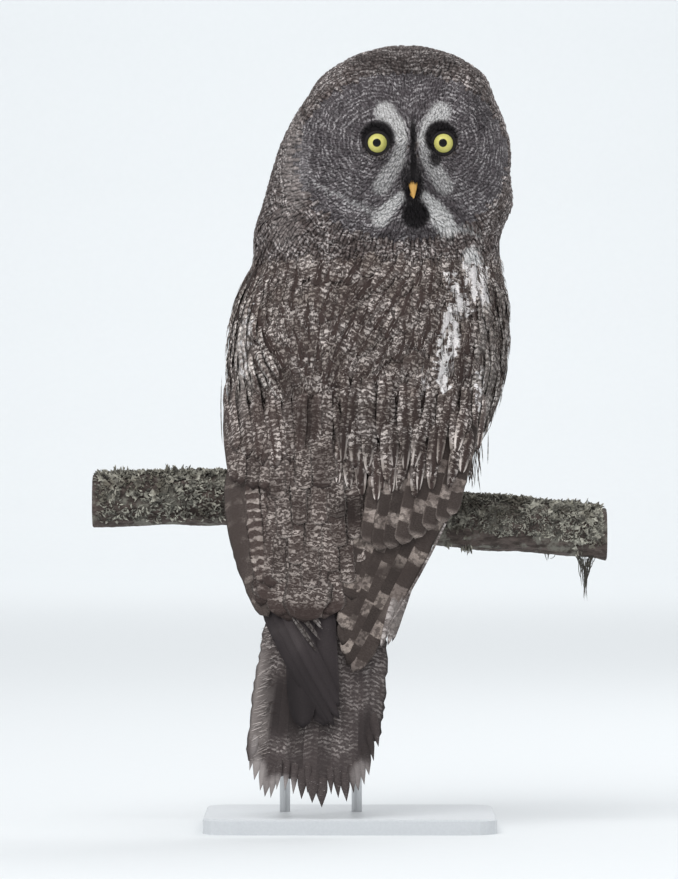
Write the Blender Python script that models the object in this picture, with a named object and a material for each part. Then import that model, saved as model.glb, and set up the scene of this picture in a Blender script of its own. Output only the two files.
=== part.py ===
"""A great grey owl, life size, perched with its back to the viewer and its head turned right round.

Metres, +Z up. The owl's face looks along -Y and its breast points along +Y. It grips a short cut
length of branch, which two rods carry above a flat base. The base's underside is at z = 0.
"""

import math

import bmesh
import bpy
import numpy as np
from mathutils import Matrix, Vector, noise

MM = 0.001
GAP = 0.3

# Stand and perch, in millimetres.
BASE = {"length": 250.0, "depth": 220.0, "thick": 13.0, "corner": 24.0, "bevel": 1.5}
ROD = {"radius": 4.5, "places": (-56.0, 6.0), "sunk": 6.0, "into_branch": 12.0, "bore": 60.0}
BRANCH = {"radius": 22.5, "rough": 1.6, "y": 8.0, "sway": 5.0, "sway_length": 95.0, "step": 24.0,
          "knot_length": 46.0, "knot_width": 26.0, "clearance": 2.0}
BRANCH_LINE = ((-221, 281), (-170, 283), (-106, 283), (-17, 276), (80, 265), (178, 257.5), (221, 252))

# Heights above the floor where one part of the bird ends and the next begins.
TAIL_TOP = 238.0
NECK_LOW = 478.0
HEAD_LOW = 507.0
CROWN = 672.0

# Round outlines: height, middle x, half width, y towards the viewer, y of the far side.
HEAD_ROWS = (
    (470, 21, 114, -85, 94),
    (486, 23, 110, -79, 84),
    (511, 23.5, 105.8, -73, 76),
    (537, 31, 104.8, -74, 79),
    (560, 31.5, 99, -75, 83),
    (588, 38.5, 97.2, -74, 85),
    (626, 43.5, 81, -65, 76),
    (652, 47, 62.5, -48, 60),
    (664, 47.5, 40, -30, 42),
    (672, 47.5, 12, -2, 16),
)
TORSO_ROWS = (
    (238, -16, 40, -83, -44),
    (257, -10, 54, -84, -32),
    (282, -5, 66, -86, -27),
    (302, 0, 76, -88, -27),
    (318, 4, 83, -91, -20),
    (328, 6, 88, -93, 26),
    (338, 8, 94, -96, 74),
    (354, 9, 99, -98, 96),
    (384, 14, 106, -100, 112),
    (435, 17, 106, -97, 112),
    (456, 19, 105, -92, 106),
    (467, 20.5, 108, -89, 101),
    (478, 22, 112, -82, 92),
)
WING_ROWS = (
    (60, -28, 56, -111, -92),
    (140, -23, 56, -105, -78),
    (196, -18, 56, -98, -66),
    (231, -15.5, 69, -96, -56),
    (282, -2, 88, -95, -36),
    (304, 2.5, 92.5, -95, -31),
    (320, 6, 98, -95, -20),
    (336, 9, 104, -95, 38),
    (356, 11, 113, -95, 80),
    (384, 13.5, 119.5, -95, 96),
    (435, 17, 121, -92, 97),
    (458, 19.5, 117.5, -88, 90),
    (469, 21, 114, -84, 84),
    (476, 22, 108, -78, 78),
)
MANTLE_ROWS = tuple(row[:3] + (row[3] - 3.0, row[4]) for row in WING_ROWS)
TAIL_ROWS = (
    (28, -31, 95, -106, -66),
    (140, -26, 95, -96, -56),
    (238, -17, 95, -84, -44),
)
TAIL_ROOT_ROWS = (
    (150, -22, 22, -93, -80),
    (195, -20, 34, -88, -66),
    (238, -17, 40, -84, -46),
)
SQUARE = {"extra": 0.7, "from": 330.0, "over": 60.0}
SHOULDER = {"share": 0.96, "beyond": 1.3}
SHARP = math.radians(38)
WING = {"low": 216.0, "high": 476.0, "core": -1.5, "left_edge": -17.0, "right_edge": 3.5}

# Tiers of feathers. Each root, tip and lift is given at the first, middle and last feather of its
# tier: (share of a quarter turn from the viewer's side, height), and mm above the outline.
VANE = {"thick": 0.9, "sunk": 5.5, "rise": 0.24}
TAIL_FEATHERS = {"count": 12, "roots": ((-0.19, 212), (0.0, 214), (0.19, 212)),
                 "tips": ((-0.36, 62), (0.05, 27), (0.38, 68)), "half_width": 13.0,
                 "lifts": (0.0, 2.6, 0.0), "tilts": (-6, 0, 6), "rows": 6, "round_from": 0.72}
LEFT_WING = (
    {"count": 3, "roots": ((-0.78, 238), (-0.52, 236), (-0.3, 234)),
     "tips": ((0.26, 92), (0.04, 104), (-0.2, 126)), "half_width": 10.0,
     "lifts": (1.6, 1.2, 0.8), "tilts": (-6, -6, -6), "rows": 6, "round_from": 0.75},
    {"count": 7, "roots": ((-1.25, 342), (-0.55, 318), (-0.12, 304)),
     "tips": ((-0.88, 204), (-0.36, 183), (0.22, 214)), "half_width": 15.5,
     "lifts": (1.0, 2.2, 5.6), "tilts": (-9, -9, -5), "rows": 6, "round_from": 0.75},
    {"count": 6, "roots": ((-1.32, 396), (-0.75, 356), (-0.27, 344)),
     "tips": ((-1.08, 290), (-0.58, 268), (-0.08, 280)), "half_width": 15.5,
     "lifts": (5.5, 6.6, 9.4), "tilts": (-9, -9, -6), "rows": 5, "round_from": 0.75},
)
RIGHT_WING = (
    {"count": 3, "roots": ((0.5, 242), (0.34, 240), (0.2, 238)),
     "tips": ((-0.26, 86), (-0.1, 98), (0.06, 120)), "half_width": 10.0,
     "lifts": (-2.6, -2.8, -3.0), "tilts": (3, 3, 3), "rows": 6, "round_from": 0.75},
    {"count": 7, "roots": ((1.25, 342), (0.62, 318), (0.24, 302)),
     "tips": ((0.8, 168), (0.34, 150), (0.13, 226)), "half_width": 15.0,
     "lifts": (1.0, 0.8, -0.4), "tilts": (9, 8, 0), "rows": 6, "round_from": 0.75},
    {"count": 6, "roots": ((1.32, 396), (0.78, 356), (0.3, 344)),
     "tips": ((1.05, 294), (0.64, 270), (0.26, 266)), "half_width": 15.0,
     "lifts": (5.5, 4.8, 0.4), "tilts": (9, 8, 1), "rows": 5, "round_from": 0.75},
)
MANTLE = (
    {"count": 10, "roots": ((-0.6, 404), (0.05, 396), (0.66, 404)),
     "tips": ((-0.6, 332), (0.02, 304), (0.7, 312)), "half_width": 10.5,
     "lifts": (11.0, 12.0, 11.0), "tilts": (-5, 0, 5), "rows": 5, "round_from": 0.5},
    {"count": 8, "roots": ((-0.6, 456), (0.0, 450), (0.62, 456)),
     "tips": ((-0.66, 374), (0.0, 362), (0.7, 368)), "half_width": 13.0,
     "lifts": (5.0, 4.5, 5.0), "tilts": (-5, 0, 5), "rows": 5, "round_from": 0.5},
)
MANTLE_SUNK = 11.0
RUFF = {"count": 24, "inner": 0.9, "outer": 1.12, "half_width": 10.5, "lift": 2.6, "rise": 0.4,
        "settle": 0.35, "rows": 4, "round_from": 0.45}

# The face.
EYE = {"x": 51.6, "half_span": 28.2, "z": 587.0, "radius": 11.0, "opening": 8.8, "sunk": 7.5,
       "lid_ring": 10.0, "lid_thick": 1.9}
DISC = {"x": 46.0, "z": 577.0, "half_width": 91.0, "half_height": 69.0, "rim": 4.0,
        "rim_at": 0.95, "hollow": 1.5, "hollow_at": 1.15, "blend": 0.09}
DISH = {"deep": 6.0, "radius": 25.0}
RIDGE = {"high": 8.0, "half_width": 11.0, "half_height": 40.0, "z": 567.0}
BILL = {"x": 53.2, "root_z": 561.0, "drop": 23.0, "reach": 13.0, "arch": 2.3, "half_width": 5.4, "sunk": 7.0,
        "steps": 8, "nostril": 1.3}
LOWER_BILL = {"below": 15.5, "drop": 4.5, "behind": 4.0, "reach": 6.5, "radius": 4.4}
HEAD_YAW = math.radians(7.0)

# Legs, toes and claws: the spread of the feet and each toe's turn round the branch.
LEG = {"spread": 32.0, "x": 2.5, "y": 10.0, "top": 350.0, "radius": 15.0, "ankle": 12.5, "above_perch": 14.5}
TOES = (
    {"splay": -13.0, "start": 10.0, "end": 84.0, "radius": 6.4},
    {"splay": 11.0, "start": 10.0, "end": 88.0, "radius": 6.4},
    {"splay": -19.0, "start": -10.0, "end": -66.0, "radius": 5.8},
    {"splay": 9.0, "start": -10.0, "end": -70.0, "radius": 5.8},
)
CLAW = {"turn": 42.0, "inside": 8.0, "radius": 3.1, "tip": 0.45, "clear": 0.6}

DARK_BROWN = (0.075, 0.058, 0.05)
GREY_BROWN = (0.115, 0.1, 0.09)
PALE_GREY = (0.17, 0.155, 0.15)


def smooth_rows(rows, place):
    """The rows' values at a place, their first value, along cubic curves through the rows."""
    table = np.array(rows, float)
    places = table[:, 0]
    slopes = np.gradient(table, places, axis=0)
    place = min(max(place, places[0]), places[-1])
    i = min(max(int(np.searchsorted(places, place)) - 1, 0), len(places) - 2)
    span = places[i + 1] - places[i]
    t = (place - places[i]) / span
    return (
        (2 * t**3 - 3 * t**2 + 1) * table[i]
        + (t**3 - 2 * t**2 + t) * span * slopes[i]
        + (3 * t**2 - 2 * t**3) * table[i + 1]
        + (t**3 - t**2) * span * slopes[i + 1]
    )


def squareness(rows, z):
    """How square an outline is on the viewer's side: 2 is an ellipse."""
    if rows in (TAIL_ROWS, TAIL_ROOT_ROWS, WING_ROWS):
        return 2.0
    return 2.0 + SQUARE["extra"] * min(1.0, max(0.0, (z - SQUARE["from"]) / SQUARE["over"]))


def section_point(rows, angle, z, out=0.0):
    """A point of a round outline at a height, at an angle from the viewer's side towards +X."""
    _, mid_x, half, near, far = smooth_rows(rows, z)
    power = 2 / squareness(rows, z) if abs(angle) < math.pi / 2 else 1.0
    across = math.copysign(abs(math.sin(angle)) ** power, math.sin(angle))
    towards = math.copysign(abs(math.cos(angle)) ** power, math.cos(angle))
    return Vector((
        mid_x + (half + out) * across,
        (near + far) / 2 - ((far - near) / 2 + out) * towards,
        z,
    ))


def angle_over(rows, x, z):
    """The angle at which the viewer's side of an outline stands over x, going on round past its edge."""
    _, mid_x, half, _, _ = smooth_rows(rows, z)
    share = abs(x - mid_x) / half
    round_the_edge = max(0.0, share - SHOULDER["share"]) * SHOULDER["beyond"]
    angle = math.asin(min(share, SHOULDER["share"]) ** (squareness(rows, z) / 2)) + round_the_edge
    return math.copysign(angle, x - mid_x)


def material(name, colour, roughness, metallic=0.0):
    made = bpy.data.materials.new(name)
    made.use_nodes = True
    shader = made.node_tree.nodes["Principled BSDF"]
    shader.inputs["Base Color"].default_value = (*colour, 1.0)
    shader.inputs["Roughness"].default_value = roughness
    shader.inputs["Metallic"].default_value = metallic
    return made


def collection(name):
    made = bpy.data.collections.new(name)
    bpy.context.scene.collection.children.link(made)
    return made


def mesh_object(name, bm, home, finish=None):
    """A new object of triangles from a bmesh in millimetres, with its faces pointing out."""
    bmesh.ops.triangulate(bm, faces=bm.faces)
    bmesh.ops.recalc_face_normals(bm, faces=bm.faces)
    bmesh.ops.scale(bm, vec=(MM, MM, MM), verts=bm.verts)
    mesh = bpy.data.meshes.new(name)
    bm.to_mesh(mesh)
    bm.free()
    obj = bpy.data.objects.new(name, mesh)
    home.objects.link(obj)
    if finish:
        mesh.materials.append(finish)
        mesh.shade_smooth()
        mesh.set_sharp_from_angle(angle=SHARP)
    return obj


def apply_modifiers(obj):
    bpy.context.view_layer.update()
    graph = bpy.context.evaluated_depsgraph_get()
    mesh = bpy.data.meshes.new_from_object(obj.evaluated_get(graph))
    obj.modifiers.clear()
    obj.data = mesh


def cut(obj, *cutters):
    """Takes each cutter away from the object, and removes the cutters."""
    for cutter in cutters:
        modifier = obj.modifiers.new("cut", "BOOLEAN")
        modifier.operation = "DIFFERENCE"
        modifier.solver = "MANIFOLD"
        modifier.object = cutter
        apply_modifiers(obj)
        bpy.data.objects.remove(cutter)
    return obj


def fuse(obj, pieces, home):
    """Joins the pieces to the object with one union, and removes them."""
    group = collection(obj.name + "_pieces")
    for piece in pieces:
        home.objects.unlink(piece)
        group.objects.link(piece)
    modifier = obj.modifiers.new("fuse", "BOOLEAN")
    modifier.operation = "UNION"
    modifier.solver = "MANIFOLD"
    modifier.operand_type = "COLLECTION"
    modifier.collection = group
    apply_modifiers(obj)
    for piece in pieces:
        bpy.data.objects.remove(piece)
    bpy.data.collections.remove(group)
    return obj


def grown_copy(obj, home, grow=GAP):
    """A copy with its surface moved out by some mm, to cut a neighbour with."""
    bm = bmesh.new()
    bm.from_mesh(obj.data)
    bmesh.ops.triangulate(bm, faces=bm.faces)
    bm.normal_update()
    for vert in bm.verts:
        vert.co += vert.normal * vert.calc_shell_factor() * grow * MM
    mesh = bpy.data.meshes.new(obj.name + "_grown")
    bm.to_mesh(mesh)
    bm.free()
    copy = bpy.data.objects.new(obj.name + "_grown", mesh)
    home.objects.link(copy)
    return copy


def keep_largest(obj):
    """Leaves only the closed surface that holds the most volume."""
    bm = bmesh.new()
    bm.from_mesh(obj.data)
    left = set(bm.faces)
    shells = []
    while left:
        stack = [left.pop()]
        shell = set(stack)
        while stack:
            for edge in stack.pop().edges:
                for face in edge.link_faces:
                    if face in left:
                        left.discard(face)
                        shell.add(face)
                        stack.append(face)
        shells.append(shell)

    def volume(shell):
        total = 0.0
        for face in shell:
            start = face.verts[0].co
            for one, two in zip(face.verts[1:], face.verts[2:]):
                total += start.dot(one.co.cross(two.co)) / 6
        return total

    shells.sort(key=volume, reverse=True)
    drop = [face for shell in shells[1:] for face in shell]
    bmesh.ops.delete(bm, geom=drop, context="FACES")
    bmesh.ops.triangulate(bm, faces=bm.faces)
    bm.to_mesh(obj.data)
    bm.free()
    return obj


def loft(name, rows, low, high, home, finish=None, around=24, up=14, out=0.0, relief=None):
    """A closed body between two heights: a sphere's rings set on the outline's sections."""
    bm = bmesh.new()
    bmesh.ops.create_uvsphere(bm, u_segments=around, v_segments=up, radius=1.0)
    for vert in bm.verts:
        ring = round(math.acos(max(-1.0, min(1.0, vert.co.z))) / math.pi * up)
        angle = math.atan2(vert.co.x, -vert.co.y)
        if ring in (0, up):
            end = high if ring == 0 else low
            _, mid_x, _, near, far = smooth_rows(rows, end)
            vert.co = (mid_x, (near + far) / 2, end)
            continue
        z = high - (high - low) * (ring - 1) / (up - 2)
        point = section_point(rows, angle, z, out)
        vert.co = relief(point, angle) if relief else point
    return mesh_object(name, bm, home, finish)


def box(name, low, high, home, finish=None):
    bm = bmesh.new()
    bmesh.ops.create_cube(bm, size=1.0)
    for vert in bm.verts:
        vert.co = [high[axis] if vert.co[axis] > 0 else low[axis] for axis in range(3)]
    return mesh_object(name, bm, home, finish)


def ball(name, centre, radius, home, finish=None, around=14, up=8):
    bm = bmesh.new()
    bmesh.ops.create_uvsphere(bm, u_segments=around, v_segments=up, radius=radius)
    bmesh.ops.translate(bm, vec=centre, verts=bm.verts)
    return mesh_object(name, bm, home, finish)


def cylinder(name, low, high, radius, home, finish=None, sides=16):
    bm = bmesh.new()
    low, high = Vector(low), Vector(high)
    span = high - low
    turn = Vector((0, 0, 1)).rotation_difference(span.normalized()).to_matrix().to_4x4()
    bmesh.ops.create_cone(bm, cap_ends=True, segments=sides, radius1=radius, radius2=radius,
                          depth=span.length, matrix=Matrix.Translation((low + high) / 2) @ turn)
    return mesh_object(name, bm, home, finish)


def tube(name, points, radii, home, finish=None, resolution=2, shape=None):
    """A bent tube with its own radius at each point, closed at both ends."""
    curve = bpy.data.curves.new(name, "CURVE")
    curve.dimensions = "3D"
    curve.bevel_depth = 1.0
    curve.bevel_resolution = resolution
    curve.use_fill_caps = True
    spline = curve.splines.new("POLY")
    spline.points.add(len(points) - 1)
    for place, point, radius in zip(spline.points, points, radii):
        place.co = (*point, 1.0)
        place.radius = radius
    obj = bpy.data.objects.new(name, curve)
    home.objects.link(obj)
    bpy.context.view_layer.update()
    graph = bpy.context.evaluated_depsgraph_get()
    mesh = bpy.data.meshes.new_from_object(obj.evaluated_get(graph))
    bpy.data.objects.remove(obj)
    bm = bmesh.new()
    bm.from_mesh(mesh)
    bpy.data.meshes.remove(mesh)
    bmesh.ops.remove_doubles(bm, verts=bm.verts, dist=0.001)
    if shape:
        for vert in bm.verts:
            vert.co = shape(vert.co)
    return mesh_object(name, bm, home, finish)


def branch_centre(x):
    """The middle of the branch at x."""
    z = smooth_rows(BRANCH_LINE, x)[1]
    return Vector((x, BRANCH["y"] + BRANCH["sway"] * math.sin(x / BRANCH["sway_length"]), z))


def branch_body(name, home, grow=0.0, finish=None):
    """The branch, with low uneven swellings, grown by some mm when it is used to cut."""
    ends = (BRANCH_LINE[0][0] - 2 * grow, BRANCH_LINE[-1][0] + 2 * grow)
    count = round((BRANCH_LINE[-1][0] - BRANCH_LINE[0][0]) / BRANCH["step"])
    xs = [ends[0] + (ends[1] - ends[0]) * i / count for i in range(count + 1)]
    points = [branch_centre(x) for x in xs]
    radii = [BRANCH["radius"] + grow] * len(points)

    def swell(place):
        centre = branch_centre(place.x)
        away = Vector((0, place.y - centre.y, place.z - centre.z))
        along, width = place.x / BRANCH["knot_length"], BRANCH["knot_width"]
        wave = noise.noise(Vector((along, away.y / width, away.z / width)))
        return place + away.normalized() * wave * BRANCH["rough"] if away.length > 1 else place

    return tube(name, points, radii, home, finish, resolution=3, shape=swell)


def build_stand(home, steel, paint):
    bm = bmesh.new()
    bmesh.ops.create_cube(bm, size=1.0)
    bmesh.ops.scale(bm, vec=(BASE["length"], BASE["depth"], BASE["thick"]), verts=bm.verts)
    bmesh.ops.translate(bm, vec=(0, 0, BASE["thick"] / 2), verts=bm.verts)
    upright = [e for e in bm.edges if abs(e.verts[0].co.z - e.verts[1].co.z) > 1]
    bmesh.ops.bevel(bm, geom=upright, offset=BASE["corner"], segments=4, profile=0.5, affect="EDGES")
    rim = [e for e in bm.edges if min(v.co.z for v in e.verts) > BASE["thick"] - 0.1]
    bmesh.ops.bevel(bm, geom=rim, offset=BASE["bevel"], segments=1, profile=0.5, affect="EDGES")
    base = mesh_object("stand_base", bm, home, paint)
    rods = []
    for name, x in zip(("stand_rod_left", "stand_rod_right"), ROD["places"]):
        foot = BASE["thick"] - ROD["sunk"]
        centre = branch_centre(x)
        head = centre.z - BRANCH["radius"] + ROD["into_branch"]
        cylinder(name, (x, centre.y, foot), (x, centre.y, head), ROD["radius"], home, steel)
        socket = cylinder("socket", (x, centre.y, foot - GAP), (x, centre.y, BASE["thick"] + 5),
                          ROD["radius"] + GAP, home)
        cut(base, socket)
        rods.append((centre, head))
    return rods


def build_branch(home, bark, rods):
    branch = branch_body("perch_branch", home, finish=bark)
    for centre, head in rods:
        low, high = (centre.x, centre.y, head - ROD["bore"]), (centre.x, centre.y, head + GAP)
        cut(branch, cylinder("bore", low, high, ROD["radius"] + GAP, home))
    return branch


def face_ahead():
    return Vector((math.sin(HEAD_YAW), -math.cos(HEAD_YAW), 0.0))


def bump(distance, radius):
    """A smooth swelling: 1 at its middle, fading with distance."""
    return math.exp(-((distance / radius) ** 2))


def head_relief(point, angle):
    """The dish round each eye, the ridge between the eyes and the raised rim of the disc."""
    if abs(angle) > math.radians(100):
        return point
    facing = max(0.0, math.cos(angle)) ** 0.5
    x, z = point.x - EYE["x"], point.z - EYE["z"]
    near = min(math.hypot(x - EYE["half_span"], z), math.hypot(x + EYE["half_span"], z))
    push = -DISH["deep"] * bump(near, DISH["radius"])
    push += RIDGE["high"] * bump(x, RIDGE["half_width"]) * bump(point.z - RIDGE["z"], RIDGE["half_height"])
    edge = math.hypot((point.x - DISC["x"]) / DISC["half_width"], (point.z - DISC["z"]) / DISC["half_height"])
    push += DISC["rim"] * bump(edge - DISC["rim_at"], DISC["blend"])
    push -= DISC["hollow"] * bump(edge - DISC["hollow_at"], DISC["blend"])
    return point + Vector((0, -push * facing, 0))


def face_point(x, z):
    angle = angle_over(HEAD_ROWS, x, z)
    return head_relief(section_point(HEAD_ROWS, angle, z), angle)


def eye_centre(side):
    return face_point(EYE["x"] + side * EYE["half_span"], EYE["z"]) - face_ahead() * EYE["sunk"]


def lid(side, home):
    """The swollen rim of skin round one eye's opening."""
    forward = math.sqrt(EYE["radius"] ** 2 - EYE["opening"] ** 2)
    centre = eye_centre(side) + face_ahead() * forward
    bm = bmesh.new()
    bmesh.ops.create_grid(bm, x_segments=12, y_segments=6, size=1.0)
    up = Vector((0, 0, 1))
    right = up.cross(face_ahead()).normalized()
    for vert in bm.verts:
        a = math.pi * (vert.co.x + 1)
        b = math.pi * (vert.co.y + 1)
        spoke = right * math.cos(a) + up * math.sin(a)
        vert.co = centre + spoke * (EYE["lid_ring"] + EYE["lid_thick"] * math.cos(b))
        vert.co += face_ahead() * EYE["lid_thick"] * math.sin(b)
    bmesh.ops.remove_doubles(bm, verts=bm.verts, dist=0.001)
    return mesh_object("lid", bm, home)


def bill_line(lower, grow=0.0):
    """The middle line and the radii of the upper or lower half of the bill."""
    top = face_point(BILL["x"], BILL["root_z"])
    ahead = face_ahead()
    points, radii = [], []
    for i in range(BILL["steps"]):
        t = i / (BILL["steps"] - 1)
        if lower:
            forward = LOWER_BILL["reach"] * t - LOWER_BILL["behind"]
            down = LOWER_BILL["below"] + LOWER_BILL["drop"] * t
            radius = LOWER_BILL["radius"] * (1 - 0.75 * t**1.5)
        else:
            arch = BILL["arch"] * math.sin(math.pi * min(1.0, 1.15 * t))
            forward = BILL["reach"] * t**0.8 + arch - BILL["sunk"]
            down = BILL["drop"] * t**1.35 - 1.0
            radius = BILL["half_width"] * (1 - t**2) + 0.7
        points.append(top + ahead * forward - Vector((0, 0, down)))
        radii.append(radius + grow)
    if grow:
        points[0] = points[0] - (points[1] - points[0]).normalized() * grow
        points[-1] = points[-1] + (points[-1] - points[-2]).normalized() * grow
    return points, radii


def build_head(home, plumage, iris, horn):
    head = loft("head", HEAD_ROWS, HEAD_LOW + GAP / 2, CROWN, home, plumage, around=36, up=18,
                relief=head_relief)
    fuse(head, ruff(home) + [lid(side, home) for side in (-1, 1)], home)
    for side, name in ((-1, "eye_left"), (1, "eye_right")):
        cut(head, ball("socket", eye_centre(side), EYE["radius"] + GAP, home))
        ball(name, eye_centre(side), EYE["radius"], home, iris)
    upper = tube("bill_upper", *bill_line(False), home, horn)
    lower = tube("bill_lower", *bill_line(True), home, horn)
    cut(lower, tube("gape", *bill_line(False, GAP), home))
    for side in (-1, 1):
        nostril = bill_line(False)[0][2] + Vector((side * BILL["half_width"], -1.0, 0.5))
        cut(upper, ball("nostril", nostril, BILL["nostril"], home, around=8, up=6))
    for half in (False, True):
        cut(head, tube("bill_root", *bill_line(half, GAP), home))
    keep_largest(head)
    keep_largest(lower)


def build_neck(home, plumage):
    return loft("neck", HEAD_ROWS, NECK_LOW + GAP / 2, HEAD_LOW - GAP / 2, home, plumage, up=5)


def build_torso(home, plumage):
    torso = loft("torso", TORSO_ROWS, TAIL_TOP + GAP / 2, NECK_LOW - GAP / 2, home, plumage, up=18)
    cut(torso, branch_body("clearance", home, BRANCH["clearance"]))
    return keep_largest(torso)


def feather_torso(torso, home):
    """Adds the long feathers of the mantle, which hang over the folded wings."""
    vanes = [piece for spec in MANTLE for piece in tier(MANTLE_ROWS, spec, home, sunk=MANTLE_SUNK)]
    fuse(torso, vanes, home)
    keep_largest(torso)


def through(values, t):
    """The value at t of the curve through three values, at 0, a half and 1."""
    first, middle, last = (np.array(value, float) for value in values)
    return (1 - t) * (1 - 2 * t) * first + 4 * t * (1 - t) * middle + t * (2 * t - 1) * last


def vane(place_at, half_width, tilt, rows, round_from, home):
    """A feather: a thin tapered strip, split into triangles alike on both faces.

    place_at gives its middle and its outward direction at a share of its length.
    """
    shares = [1 - (1 - i / (rows - 1)) ** 1.35 for i in range(rows)]
    spots = [place_at(t) for t in shares]
    bm = bmesh.new()
    bmesh.ops.create_grid(bm, x_segments=1, y_segments=rows - 1, size=1.0)
    bmesh.ops.triangulate(bm, faces=bm.faces, quad_method="FIXED")
    under = [(vert, round((vert.co.y + 1) / 2 * (rows - 1)), vert.co.x) for vert in bm.verts]
    grown = bmesh.ops.extrude_face_region(bm, geom=list(bm.faces), use_keep_orig=True)
    upper = [item for item in grown["geom"] if isinstance(item, bmesh.types.BMVert)]
    over = [(vert, round((vert.co.y + 1) / 2 * (rows - 1)), vert.co.x) for vert in upper]
    for verts, way in ((under, -0.5), (over, 0.5)):
        for vert, row, across in verts:
            t = shares[row]
            centre, out = spots[row]
            ahead = (spots[min(rows - 1, row + 1)][0] - spots[max(0, row - 1)][0]).normalized()
            turn = Matrix.Rotation(math.radians(tilt) * min(1.0, 2 * t), 3, ahead)
            side = turn @ ahead.cross(out).normalized()
            end = max(0.0, (t - round_from) / (1 - round_from))
            wide = half_width * min(1.0, 0.5 + 1.8 * t) * math.sqrt(max(0.015, 1 - end**2.4))
            thick = VANE["thick"] * (0.35 if row == rows - 1 else 1.0)
            vert.co = centre + side * wide * across + (turn @ out) * thick * way
    return mesh_object("vane", bm, home)


def outward(rows, angle, z):
    """The direction that points straight out of an outline."""
    beside = section_point(rows, angle + 0.04, z) - section_point(rows, angle - 0.04, z)
    above = section_point(rows, angle, z + 4) - section_point(rows, angle, z - 4)
    return beside.cross(above).normalized()


def tier(rows, spec, home, sunk=VANE["sunk"]):
    """One tier of overlapping feathers laid along an outline."""
    made = []
    for number in range(spec["count"]):
        across = number / (spec["count"] - 1)
        root = through(spec["roots"], across)
        tip = through(spec["tips"], across)
        lift = float(through([(value,) for value in spec["lifts"]], across)[0])
        tilt = float(through([(value,) for value in spec["tilts"]], across)[0])

        def place_at(t):
            share, z = root + (tip - root) * t
            angle = share * math.pi / 2
            out = outward(rows, angle, z)
            rise = -sunk + (lift + sunk) * min(1.0, t / VANE["rise"])
            return section_point(rows, angle, z) + out * rise, out

        made.append(vane(place_at, spec["half_width"], tilt, spec["rows"], spec["round_from"], home))
    return made


def ruff(home):
    """The overlapping feathers that edge the face."""
    made = []
    for number in range(RUFF["count"]):
        turn = 2 * math.pi * number / RUFF["count"]

        def place_at(t):
            edge = RUFF["inner"] + (RUFF["outer"] - RUFF["inner"]) * t
            x = DISC["x"] + DISC["half_width"] * edge * math.cos(turn)
            z = DISC["z"] + DISC["half_height"] * edge * math.sin(turn)
            angle = angle_over(HEAD_ROWS, x, z)
            out = outward(HEAD_ROWS, angle, z)
            start = -VANE["sunk"]
            full = (DISC["rim"] + RUFF["lift"] - start) * (1 - RUFF["settle"] * t)
            rise = start + full * min(1.0, t / RUFF["rise"])
            return section_point(HEAD_ROWS, angle, z) + out * rise, out

        made.append(vane(place_at, RUFF["half_width"], 0.0, RUFF["rows"], RUFF["round_from"], home))
    return made


def tail_root(name, home, finish=None):
    return loft(name, TAIL_ROOT_ROWS, TAIL_ROOT_ROWS[0][0], TAIL_TOP - GAP / 2, home, finish, up=8)


def build_tail(home, plumage):
    """Twelve feathers that spread from a short root."""
    tail = tail_root("tail", home, plumage)
    fuse(tail, tier(TAIL_ROWS, TAIL_FEATHERS, home), home)
    return keep_largest(tail)


def build_wing(name, side, tiers, torso, home, plumage):
    """One folded wing: a core over the flank, and its feathers in tiers down to the wing's point."""
    wing = loft(name, WING_ROWS, WING["low"], WING["high"], home, plumage, up=16, out=WING["core"])
    low, high = (-300, -300, 0), (300, 300, 700)
    if side < 0:
        cut(wing, box("half", (WING["left_edge"], low[1], low[2]), high, home))
    else:
        cut(wing, box("half", low, (WING["right_edge"], high[1], high[2]), home))
    fuse(wing, [piece for spec in tiers for piece in tier(WING_ROWS, spec, home)], home)
    root = tail_root("root", home)
    cut(wing, grown_copy(torso, home), grown_copy(root, home, 2 * GAP))
    cut(wing, branch_body("clearance", home, BRANCH["clearance"]))
    bpy.data.objects.remove(root)
    return keep_largest(wing)


def toe_path(foot_x, toe, start, end, away):
    """Points round the branch at one foot, from the top towards +Y when the angles grow."""
    points = []
    steps = max(2, round(abs(end - start) / 19.0))
    for i in range(steps + 1):
        t = i / steps
        angle = math.radians(start + (end - start) * t)
        x = foot_x + toe["splay"] * math.sin(abs(angle)) * 1.1
        centre = branch_centre(x)
        points.append(centre + Vector((0, math.sin(angle), math.cos(angle))) * away)
    return points


def claw_body(name, foot_x, toe, home, finish=None, grow=0.0):
    """A curved claw that starts a little inside its toe, grown by some mm when it is used to cut."""
    away = BRANCH["radius"] + BRANCH["rough"] + CLAW["radius"] + CLAW["clear"]
    inside = math.copysign(CLAW["inside"], toe["end"])
    turn = math.copysign(CLAW["turn"], toe["end"])
    points = toe_path(foot_x, toe, toe["end"] - inside, toe["end"] + turn, away)
    last = len(points) - 1
    radii = [CLAW["radius"] + (CLAW["tip"] - CLAW["radius"]) * i / last + grow for i in range(last + 1)]
    if grow:
        points[0] = points[0] - (points[1] - points[0]).normalized() * grow
    return tube(name, points, radii, home, finish, resolution=1)


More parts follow.
